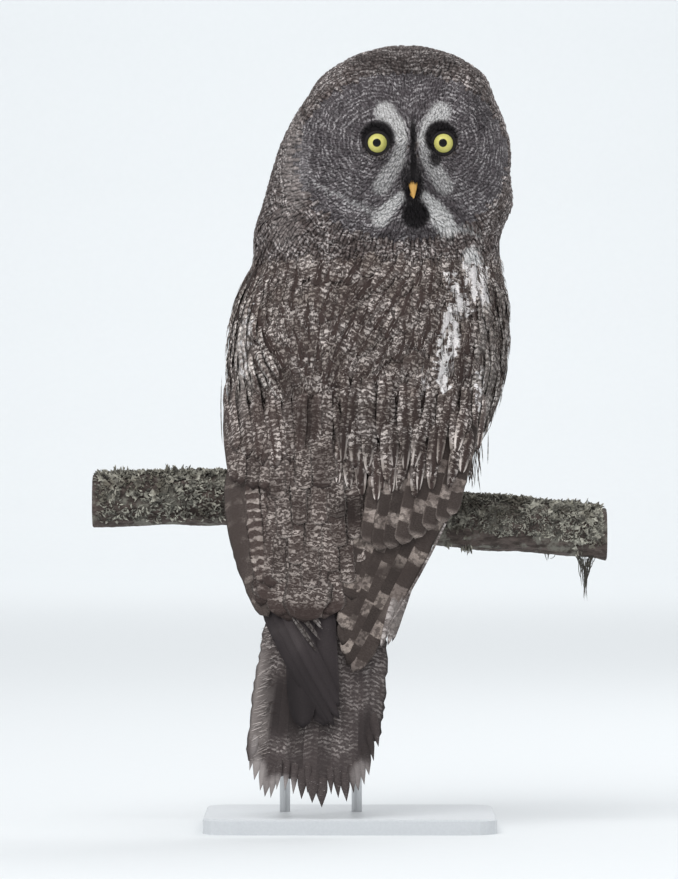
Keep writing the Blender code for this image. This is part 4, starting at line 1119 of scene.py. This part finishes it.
# Tail: twelve feathers, with worn tips that end in spikes
tail = {
    "rootX": (-52, 12), "rootZ": 214, "half": 14.0,
    "tips": (
        (-76, 46), (-70, 40), (-61, 37), (-51, 36), (-42, 35), (-33, 33), (-25, 33), (-16, 35), (-7, 37), (2, 42),
        (7, 52),
        (11, 66),
    ),
    "spikes": (
        (-85, 54, 3.4), (-81, 46, 4.5), (-76, 37, 4.0), (-72, 32, 4.6), (-67, 31, 3.6), (-62, 38, 3.2),
        (-55, 37, 3.0),
        (-48, 34, 3.4), (-41, 30, 4.6), (-36, 35, 3.0), (-32, 27, 6.0), (-24, 23.5, 6.0), (-16, 34, 3.4),
        (-10, 31, 4.0),
        (-3, 28, 4.6), (3, 35, 3.6), (7, 37, 4.6), (12, 42, 3.6), (16, 50, 4.6), (20, 62, 3.4), (24, 74, 4.4),
    ),
    "hairs": 110, "hairZ": (62, 176), "hairX": (-87, -75),
}
lines = []
for i, (x, z) in enumerate(tail["tips"]):
    t = i / 11
    rootX = tail["rootX"][0] + (tail["rootX"][1] - tail["rootX"][0]) * t
    bow = 6 * (t - 0.5) + (4 if i == 11 else 0)
    lines.append((rootX, tail["rootZ"], x, z + 11, tail["half"], 3.0 * (1 - abs(2 * t - 1)), bow))
tailQuill = featherModel(8, 34, 0.9, 0.55, widest=0.25)
layFeathers("tailFeathers", tailQuill, tailShape, lines, "tail", 91, replaced=("tail",), tilts=np.linspace(-6, 6, 12),
            thick=0.9, camber=0.1, fray=0.12)
lines = [(x - (x + 28) * 0.12, z + 36, x, z, half, 4.4 - 3.0 * abs(2 * (x + 76) / 87 - 1))
         for x, z, half in tail["spikes"]]
spike = featherModel(6, 12, 0.62, 0.8, widest=0.4, taper=(1.1, 1.0))
layFeathers("tailSpikes", spike, tailShape, lines, "tip", 92, rows=6, sunk=3.0, thick=0.3, fray=0.1,
            tones=np.random.default_rng(94).uniform(0.93, 1.07, len(lines)))
# pale streaks fanning out under the left wing
layFeathers("tailFan", pointed, wingShape, (
    (-53, 190, -28, 154, 1.5, 5.2), (-50, 190, -30, 160, 1.0, 5.4), (-46, 190, -25, 164, 1.5, 5.6),
    (-42, 190, -27, 168, 1.0, 5.8), (-38, 190, -23, 173, 1.6, 5.8), (-34, 190, -24, 177, 1.1, 5.8),
), "fluff", 93, rows=5, sunk=0.0, thick=0.4, fray=0.4, tones=np.full(6, 0.5))
# fine pale hairs slanting down to the tail's left edge
draw = np.random.default_rng(97)
lines = []
for z in draw.uniform(*tail["hairZ"], tail["hairs"]):
    x = np.interp(z, tail["hairZ"], tail["hairX"]) + 11 * draw.random() ** 1.4
    lines.append((x + draw.uniform(5, 12), z + draw.uniform(1, 6), x, z, 0.35, draw.uniform(1.2, 2.6)))
layFeathers("tailHairs", sliver, tailShape, lines, "fluff", 98, rows=5, sunk=0.0, thick=0.3,
            tones=draw.uniform(0.5, 2.0, len(lines)))
print("wings and tail made")

# Legs and toes
legCoat = {"spacing": 3.2, "length": 9.0, "half": 1.8, "lift": 1.6}


def downToes(points):
    # down the leg, and along each toe round the branch
    centre = perchAt(points[:, 0])
    y, z = points[:, 1] - centre[:, 1], points[:, 2] - centre[:, 2]
    above = np.maximum(0, z - perch["radius"] - 13)
    return columns(np.zeros(len(y)), np.copysign(z, y), -np.abs(y) - above * 40)


def onLegs(p):
    fromMiddle = p[:, 0] - legs["x"]
    nearLeg = np.minimum(np.abs(fromMiddle - legs["spread"]), np.abs(fromMiddle + legs["spread"])) < 32
    return (p[:, 2] < 316) & (p[:, 1] > -26) & nearLeg


roots = strewn(onLegs, legCoat["spacing"], 101)
centres, outs = walked(roots, downToes, legCoat["length"], 4, legCoat["lift"])
featherPiece("legCoat", tuft, centres, outs, legCoat["half"], finishes["breast"], "leg_feathers", 102, fray=0.2,
             replaced=("leg_left", "leg_right", "foot_left", "foot_right"))


# Eyes
eye = {
    "radius": 11.0, "iris": 8.9, "pupil": 3.3, "gaze": (0.03, -1.0, 0.0), "cornea": 0.05,
    "lid": 9.6, "lidThick": 1.7, "lidForward": 6.4, "lidUpper": 0.93, "lidLower": 0.98,
}
f = Finish("yellowEye", 0.18)
fromPupil, aroundPupil, _ = f.split(f.attribute("grain"))
rays = f.noise(f.join(f.times(fromPupil, 0.25), f.times(aroundPupil, 9.0), 0.0), 1.0, 3.0)
colour = f.mix(rays, (0.61, 0.55, 0.125), (0.71, 0.67, 0.24))
colour = f.mix(f.between(fromPupil, 5.4, 8.6, 0.0, 0.45), colour, (0.34, 0.36, 0.10))
colour = f.mix(f.between(fromPupil, eye["pupil"], eye["pupil"] + 0.5, 1.0, 0.0), colour, (0.004, 0.004, 0.005))
colour = f.mix(f.between(fromPupil, eye["iris"] - 0.5, eye["iris"] + 0.1), colour, (0.01, 0.008, 0.008))
f.set("Specular IOR Level", 0.15)
f.set("Coat Weight", 0.15)
f.set("Coat Roughness", 0.03)
f.bump(rays, 0.0002, 0.3)
eyeFinish = f.colour(colour)
lidFinish = grained("blackLid", 0.7, (0.008, 0.007, 0.008), (0.03, 0.026, 0.026), 0.0003, 0.6, 900,
                    Specular_IOR_Level=0.15)
gaze = unit(np.array(eye["gaze"]))
for side, label in ((-1, "left"), (1, "right")):
    centre = eyeCentre(side)
    deselect()
    bpy.ops.mesh.primitive_uv_sphere_add(segments=64, ring_count=48, radius=eye["radius"] * mm,
                                         rotation=(math.radians(90), 0, 0))
    ball = bpy.context.object
    bpy.ops.object.transform_apply(location=True, rotation=True, scale=True)
    co = getPoints(ball)
    toGaze = unit(co) @ gaze
    # the cornea stands a little proud of the ball
    co = co * (1 + eye["cornea"] * smooth(0.72, 1.0, toGaze))[:, None] + np.array(centre)
    setPoints(ball, co)
    offset = (co - np.array(centre)) / mm
    flatPart = offset - (offset @ gaze)[:, None] * gaze
    fromGaze = np.where(toGaze > 0, np.linalg.norm(flatPart, axis=1), 20)
    writeAttributes(ball.data, grain=columns(fromGaze, np.arctan2(offset[:, 2], offset[:, 0]), fromGaze * 0))
    bpy.ops.object.shade_smooth()
    finished(ball, label + "Eyeball", eyeFinish, "eye", "eye_" + label)
    deselect()
    bpy.ops.mesh.primitive_torus_add(major_segments=64, minor_segments=16, major_radius=eye["lid"] * mm,
                                     minor_radius=eye["lidThick"] * mm, rotation=(math.radians(90), 0, face["yaw"]))
    rim = bpy.context.object
    bpy.ops.object.transform_apply(location=True, rotation=True, scale=True)
    forward = Vector((math.sin(face["yaw"]), -math.cos(face["yaw"]), 0)) * eye["lidForward"] * mm
    co = getPoints(rim)
    # the upper lid hangs lower over the ball
    co[:, 2] *= np.where(co[:, 2] > 0, eye["lidUpper"], eye["lidLower"])
    setPoints(rim, co + np.array(centre + forward))
    bpy.ops.object.shade_smooth()
    finished(rim, label + "Lid", lidFinish, "face")


# Smooth copies of small CAD nodes
def smoothCopy(node, name, finish, slot):
    obj = nodes[node].copy()
    obj.data = nodes[node].data.copy()
    for key in list(obj.keys()):
        del obj[key]
    obj.parent = None
    bpy.context.scene.collection.objects.link(obj)
    pick(obj)
    editMesh(bpy.ops.mesh.remove_doubles, threshold=0.00002)
    applyModifier(obj, "SUBSURF", levels=2, render_levels=2)
    bpy.ops.object.shade_smooth()
    return finished(obj, name, finish, slot, node)


bill = {"x": 53.2, "half": 6.4, "sideBristles": 130, "rootBristles": 170, "lowBristles": 60, "bristleHalf": 0.45}
f = Finish("hornBill", 0.32)
_, _, high = f.split(f.coords)
grain = f.noise(f.scaled(f.coords, (900, 900, 200)), 1.0, 3.0)
colour = f.mix(grain, (0.50, 0.26, 0.055), (0.72, 0.43, 0.12))
f.bump(grain, 0.0002, 0.4)
billFinish = f.colour(f.mix(f.between(high, 0.538, 0.533), colour, (0.42, 0.27, 0.14)))
clawFinish = grained("blackClaw", 0.3, (0.010, 0.009, 0.009), (0.045, 0.038, 0.033), 0.0002, 0.4, 700)
upperBill = smoothCopy("bill_upper", "upperBill", billFinish, "bill")
smoothCopy("bill_lower", "lowerBill", billFinish, "bill")
for label in ("left", "right"):
    for number in range(1, 5):
        smoothCopy("claw_%s_%d" % (label, number), "%sClaw%d" % (label, number), clawFinish, "claw")
# bristles over the sides of the bill, dark under it
draw = np.random.default_rng(95)
billPoints = getPoints(upperBill) / mm
lines, tones = [], []


def onBill(x, z):
    near = (np.abs(billPoints[:, 2] - z) < 2.0) & (np.abs(billPoints[:, 0] - x) < 1.2)
    return np.array([x, min([-80.0, *billPoints[near, 1]]) - draw.uniform(0.2, 0.9), z])


for side in (-1, 1):
    middle = np.array([bill["x"], 0, 0])
    for i in range(bill["sideBristles"]):
        a = middle + drawn(draw, (3.0, 9.0), (0, 3), (556, 574)) * (side, -1, 1) - (0, 77, 0)
        c = middle + drawn(draw, (3.2, 10.0), (0, 3.5), 0) * (side, -1, 1) + (0, -84, a[2] - draw.uniform(10, 20))
        lines.append((a, (a + c) / 2 + (side * draw.uniform(0, 2), -3.0, 0), c))
        tones.append(draw.uniform(0.15, 1.0))
    # over the root of the bill, close on its surface
    for i in range(bill["rootBristles"]):
        x = bill["x"] + side * bill["half"] * draw.random() ** 0.8
        low, high = draw.uniform(550, 558), draw.uniform(561, 572)
        a, b, c = (onBill(x, height) for height in (high, (low + high) / 2, low))
        lines.append((a, 2 * b - (a + c) / 2, c))
        tones.append(draw.uniform(0.12, 0.5))
    for i in range(bill["lowBristles"]):
        a = middle + drawn(draw, (0.5, 6.0), -80, (542, 556)) * (side, 1, 1)
        c = a + drawn(draw, (0, 5), -4.0, (8, 16)) * (side, 1, -1)
        lines.append((a, (a + c) / 2 + (side * 1.5, -1.0, 0), c))
        tones.append(draw.uniform(0.15, 0.5))
strands("billBristles", lines, bill["bristleHalf"], finishes["face"], "face", 96, tones=tones)
print("eyes, bill and claws made")

# Branch
branch = {
    "around": 90, "along": 330, "cap": 6, "capBulge": 0.9,
    "ridge": 1.6, "ridgeLength": 60, "ridgeTurns": 2.2, "knots": 1.6, "knotLength": 46,
}
f = Finish("bark", 0.92)
grain = f.noise(f.scaled(f.coords, (60, 160, 160)), 1.0, 8.0, 0.7)
cells = f.cells(f.scaled(f.coords, (90, 190, 190)))
colour = f.mix(f.between(grain, 0.35, 0.7), (0.040, 0.029, 0.024), (0.14, 0.108, 0.095))
colour = f.mix(f.between(cells, 0.0, 0.25, 0.7, 0.0), colour, (0.022, 0.017, 0.015))
crust = f.between(f.noise(f.coords, 55, 6.0, 0.65), 0.5, 0.62)
f.bump(f.sum("ADD", grain, f.times(cells, 0.8)), 0.003, 0.9)
barkFinish = f.colour(f.mix(crust, colour, (0.20, 0.19, 0.16)))
deselect()
bpy.ops.mesh.primitive_uv_sphere_add(segments=branch["around"], ring_count=branch["along"], radius=1)
wood = bpy.context.object
co = getPoints(wood)
ring = np.round(np.arccos(np.clip(co[:, 2], -1, 1)) / math.pi * branch["along"])
around = np.arctan2(co[:, 1], co[:, 0])
# the first and last rings make the sawn ends, those between them the length
fromEnd = np.minimum(ring, branch["along"] - ring)
share = np.interp(fromEnd, (0, 1, branch["cap"] - 1, branch["cap"]), (0, 0.15, 0.96, 1.0))
length = perch["line"][-1][0] - perch["line"][0][0]
inner = np.clip((ring - branch["cap"]) / (branch["along"] - 2 * branch["cap"]), 0, 1)
along = perch["line"][0][0] + length * inner
along = along + np.sign(inner - 0.5) * np.where(fromEnd < branch["cap"], branch["capBulge"], 0)
relief = []
for x, a in zip(along, around):
    across = np.array([math.cos(a), math.sin(a)])
    ridges = noise.fractal(Vector((x / branch["ridgeLength"], *(across * branch["ridgeTurns"]))), 0.6, 2.1, 5)
    knots = noise.noise(Vector((x / branch["knotLength"], *across)))
    relief.append(ridges * branch["ridge"] + knots * branch["knots"])
radius = share * (perch["radius"] + np.array(relief))
points = perchAt(along)
points[:, 1] += np.sin(around) * radius
points[:, 2] += np.cos(around) * radius
setPoints(wood, points * mm)
editMesh(bpy.ops.mesh.normals_make_consistent, inside=False)
bpy.ops.object.shade_smooth_by_angle(angle=math.radians(50))
finished(wood, "perchWood", barkFinish, "branch", "perch_branch")

# Lichen: crumpled lobes set thickly on the top and sides, a few below
lichen = {
    "count": 1500, "size": (1.6, 3.6), "straps": 10500, "reach": (3.0, 6.5), "half": 0.8, "end": 218,
    # x, height and count of the tufts along the top; x, z, drop and count of those below, and of the long hairs
    "tufts": (
        (-213, 6, 6), (-201, 9, 5), (-197, 8, 6), (-174, 5, 7), (-158, 9, 5), (-149, 7, 7), (-143, 8, 6),
        (-125, 5, 8),
        (-115, 6, 6), (84, 4, 8), (100, 6, 9), (128, 5, 9), (165, 4, 8), (192, 6, 9),
    ),
    "hanging": ((85, 244, 6, 14), (101, 242, 8, 16), (197, 236, 6, 12), (-60, 262, 5, 8)),
    "hairs": ((203, 233, 38, 60), (206, 272, -12, 10), (170, 238, 14, 8), (128, 279, -4, 4), (-140, 306, -5, 5)),
}
f = Finish("lichen", 0.95)
spots = f.noise(f.coords, 160, 4.0, 0.6)
patchy = f.noise(f.coords, 26, 3.0, 0.6)
colour = f.mix(f.between(spots, 0.3, 0.7), (0.060, 0.053, 0.045), (0.60, 0.58, 0.49))
colour = f.mix(f.between(patchy, 0.5, 0.62), colour, (0.16, 0.145, 0.115))
colour = f.mix(f.between(patchy, 0.28, 0.36, 0.5, 0.0), colour, (0.44, 0.41, 0.33))
_, _, tone = f.split(f.attribute("part"))
f.bump(spots, 0.001, 0.8)
lichenFinish = f.colour(f.mix(1.0, colour, f.join(tone, tone, tone), "MULTIPLY"))
deselect()
bpy.ops.mesh.primitive_uv_sphere_add(segments=9, ring_count=6, radius=1)
lobe = bpy.context.object
co = getPoints(lobe)
round_ = np.hypot(co[:, 0], co[:, 1])
around = np.arctan2(co[:, 1], co[:, 0])
reach = 1 + 0.35 * np.sin(around * 3 + 0.6) + 0.2 * np.sin(around * 5)
high = co[:, 2] * 0.14 + round_**2 * 0.45 + 0.2 * np.sin(around * 3) * round_
lobePoints = columns(co[:, 0] * reach, co[:, 1] * reach, high)
lobeFaces = [tuple(p.vertices) for p in lobe.data.polygons]
bpy.data.objects.remove(lobe)
draw = np.random.default_rng(7)
places, frames = [], []
while len(places) < lichen["count"]:
    along = draw.uniform(1 - lichen["end"], lichen["end"] - 1)
    angle = draw.normal(0.25, 0.85)
    patch = noise.noise(Vector((along / 38, angle * 1.2, 3.0)))
    if abs(angle) > 2.3 or patch < -0.4 + 0.2 * max(0, angle):
        continue
    centre = perchPoint(along)
    out = Vector((0, -math.sin(angle), math.cos(angle)))
    size = draw.uniform(*lichen["size"])
    stack = draw.uniform(0, 2.0) * max(0.0, patch + 0.5)
    lean = Vector(draw.normal(0, 0.5, 3))
    up = (out + lean * 0.8).normalized()
    one = up.orthogonal().normalized()
    turn = draw.uniform(0, 2 * math.pi)
    two = up.cross(one)
    sideways = one * math.cos(turn) + two * math.sin(turn)
    places.append(centre + out * (perch["radius"] + stack + 0.4))
    frames.append((sideways * size, up.cross(sideways) * size, up * size))
places, frames = np.array(places), np.array(frames)
points = places[:, None, :] + np.einsum("vk,nkj->nvj", lobePoints, frames)
lobes = meshPiece("lichenLobes", points.reshape(-1, 3), lobeFaces, len(places))
tones = np.repeat(draw.uniform(0.4, 1.1, len(places)), len(lobePoints))
writeAttributes(lobes.data, part=columns(tones * 0, tones * 0, tones))
finished(lobes, "lichenLobes", lichenFinish, "branch")

# narrow curled straps of lichen among them, and a few hanging tufts and hairs
strap = featherModel(4, 4, 0.55, 0.5, notch=0.25)
draw = np.random.default_rng(8)
lines, facing, halves = [], [], []
while len(lines) < lichen["straps"]:
    x = draw.uniform(-lichen["end"] if draw.random() < 0.6 else 60, lichen["end"])
    angle = draw.uniform(-1.3, 2.5)
    patch = noise.noise(Vector((x / 30, angle * 1.5, 9.0)))
    fine = x > 60
    if angle > (1.95 if fine else 2.4) + 0.3 * patch or patch < -0.6 + 0.3 * max(0, angle - 1.2):
        continue
    out = np.array([0, -math.sin(angle), math.cos(angle)])
    beside = unit(np.cross(out, draw.normal(0, 1, 3)))
    reach = draw.uniform(*lichen["reach"]) * (0.7 if fine else 1.0)
    a = perchAt(np.array([x]))[0] + out * (perch["radius"] + 0.3)
    b = a + out * reach * draw.uniform(0.3, 0.7) + beside * reach * 0.35
    c = a + out * reach * draw.uniform(-0.1, 0.5) + beside * reach * draw.uniform(0.6, 1.1)
    lines.append((a, b, c))
    facing.append(out + draw.normal(0, 0.5, 3))
    halves.append(lichen["half"] * draw.uniform(0.6, 1.4) * (0.75 if fine else 1.1))
# antler-like tufts along the top
for x, tall, count in lichen["tufts"]:
    top = perchAt(np.array([float(x)]))[0] + (0, -6.0, perch["radius"] - 2)
    for i in range(count):
        a = top + drawn(draw, (-3.5, 3.5), (-6, 6), 0)
        c = a + (drawn(draw, (-4, 4), (-3, 3), (0.4, 1.0)) * (1, 1, tall) + (0, 0, 2))
        lines.append(bent(draw, a, c, 1.2))
        facing.append(np.array([0, -1.0, 0]) + draw.normal(0, 0.4, 3))
        halves.append(1.2)
for x, z, drop, count in lichen["hanging"]:
    for i in range(count):
        a = np.array([x, 0, z + 3]) + drawn(draw, (-3, 3), (-4, 12), 0)
        c = a + drawn(draw, (-4, 4), (-4, 2), (0.6, 1.4)) * (1, 1, -drop)
        lines.append(bent(draw, a, c, 1.5))
        facing.append(np.array([0, -1.0, 0]) + draw.normal(0, 0.4, 3))
        halves.append(0.8)
lines, facing, halves = np.array(lines), np.array(facing), np.array(halves)
tones = draw.uniform(0.35, 1.35, len(lines))
for name, on in (("lichenStrapsLeft", lines[:, 0, 0] < 0), ("lichenStrapsRight", lines[:, 0, 0] >= 0)):
    strands(name, lines[on], halves[on], lichenFinish, "branch", 9, tones[on], strap, facing[on])
lines = []
for x, z, drop, count in lichen["hairs"]:
    for i in range(count):
        slip = draw.uniform(-9, 9)
        a = np.array([x + slip, draw.uniform(-2, 12), z + 2.0])
        reach = drawn(draw, (-2, 2), (-3, 3), (0.5, 1.0)) * (1, 1, -drop * (1.15 - abs(slip) / 10))
        lines.append(bent(draw, a, a + (reach - (slip * 0.7, 0, 0)), 2.5))
strands("lichenHairs", lines, 0.4, lichenFinish, "branch", 10, tones=0.4)
print("branch and lichen made")

# Stand
paintFinish = grained("palePaint", 0.42, (0.60, 0.62, 0.64), (0.70, 0.72, 0.74), 0.0003, 0.25, 420, 4.0)
steelFinish = grained("brushedSteel", 0.3, (0.42, 0.43, 0.44), (0.6, 0.61, 0.62), 0.0001, 0.3, 1.0, 2.0,
                      stretch=(1200, 1200, 40), Metallic=1.0)
for node, finish in (("stand_base", paintFinish), ("stand_rod_left", steelFinish), ("stand_rod_right", steelFinish)):
    nodes[node].data.materials.clear()
    nodes[node].data.materials.append(finish)

# Floor that sweeps up into the backdrop
room = {"half": 6.5, "back": 11.0, "front": 9.0, "rise": 3.5, "bend": 1.5, "quarterTurn": 1.5708}
deselect()
bpy.ops.mesh.primitive_grid_add(x_subdivisions=2, y_subdivisions=60, size=2)
floor = bpy.context.object
co = getPoints(floor)
run = (co[:, 1] + 1) / 2 * (room["front"] + room["back"] + room["rise"]) - room["front"]
turn = np.clip((run - room["back"] + room["bend"]) / room["bend"] / room["quarterTurn"], 0, 1) * math.pi / 2
flatRun = np.minimum(run, room["back"] - room["bend"])
over = np.maximum(0, run - (room["back"] - room["bend"] + room["bend"] * room["quarterTurn"]))
co[:, 0] *= room["half"]
co[:, 1] = flatRun + room["bend"] * np.sin(turn)
co[:, 2] = room["bend"] * (1 - np.cos(turn)) + over
setPoints(floor, co)
bpy.ops.object.shade_smooth()
floor.name = "floorSweep"
floor.data.materials.append(
    grained("paleFloor", 0.9, (0.81, 0.832, 0.843), (0.83, 0.852, 0.863), 0.001, 0.1, 60))

# Light and camera
world = bpy.data.worlds.new("softWorld")
bpy.context.scene.world = world
world.use_nodes = True
background = world.node_tree.nodes["Background"]
background.inputs["Color"].default_value = (0.95, 0.975, 1.0, 1)
background.inputs["Strength"].default_value = 0.72


def softLight(name, place, aim, size, power):
    light = bpy.data.lights.new(name, "AREA")
    light.shape = "SQUARE"
    light.size = size
    light.energy = power
    obj = bpy.data.objects.new(name, light)
    bpy.context.scene.collection.objects.link(obj)
    obj.location = place
    obj.rotation_euler = (Vector(aim) - Vector(place)).to_track_quat("-Z", "Y").to_euler()


softLight("skyLight", (-0.8, -2.2, 3.2), (0, 0, 0.4), 2.2, 64)
softLight("backLight", (1.5, 2.0, 2.6), (0, 0, 0.4), 1.6, 25)
softLight("backdropLight", (0.0, 8.6, 4.2), (0, 11.0, 1.2), 4.0, 72)
softLight("floorLight", (0.0, 4.8, 3.6), (0, 4.8, 0), 3.0, 26)

view = {"lens": 250.0, "sensor": 36.0, "frameHeight": 747.0, "x": -9.35, "z": 334.4, "front": 80.0}
camera = bpy.data.cameras.new("camera")
camera.lens = view["lens"]
camera.sensor_fit = "VERTICAL"
camera.sensor_height = view["sensor"]
camera.clip_end = 50
cameraObject = bpy.data.objects.new("camera", camera)
bpy.context.scene.collection.objects.link(cameraObject)
distance = view["frameHeight"] * mm * view["lens"] / view["sensor"]
cameraObject.location = (view["x"] * mm, -distance - view["front"] * mm, view["z"] * mm)
cameraObject.rotation_euler = (math.radians(90), 0, 0)
bpy.context.scene.camera = cameraObject
print("room, light and camera made")
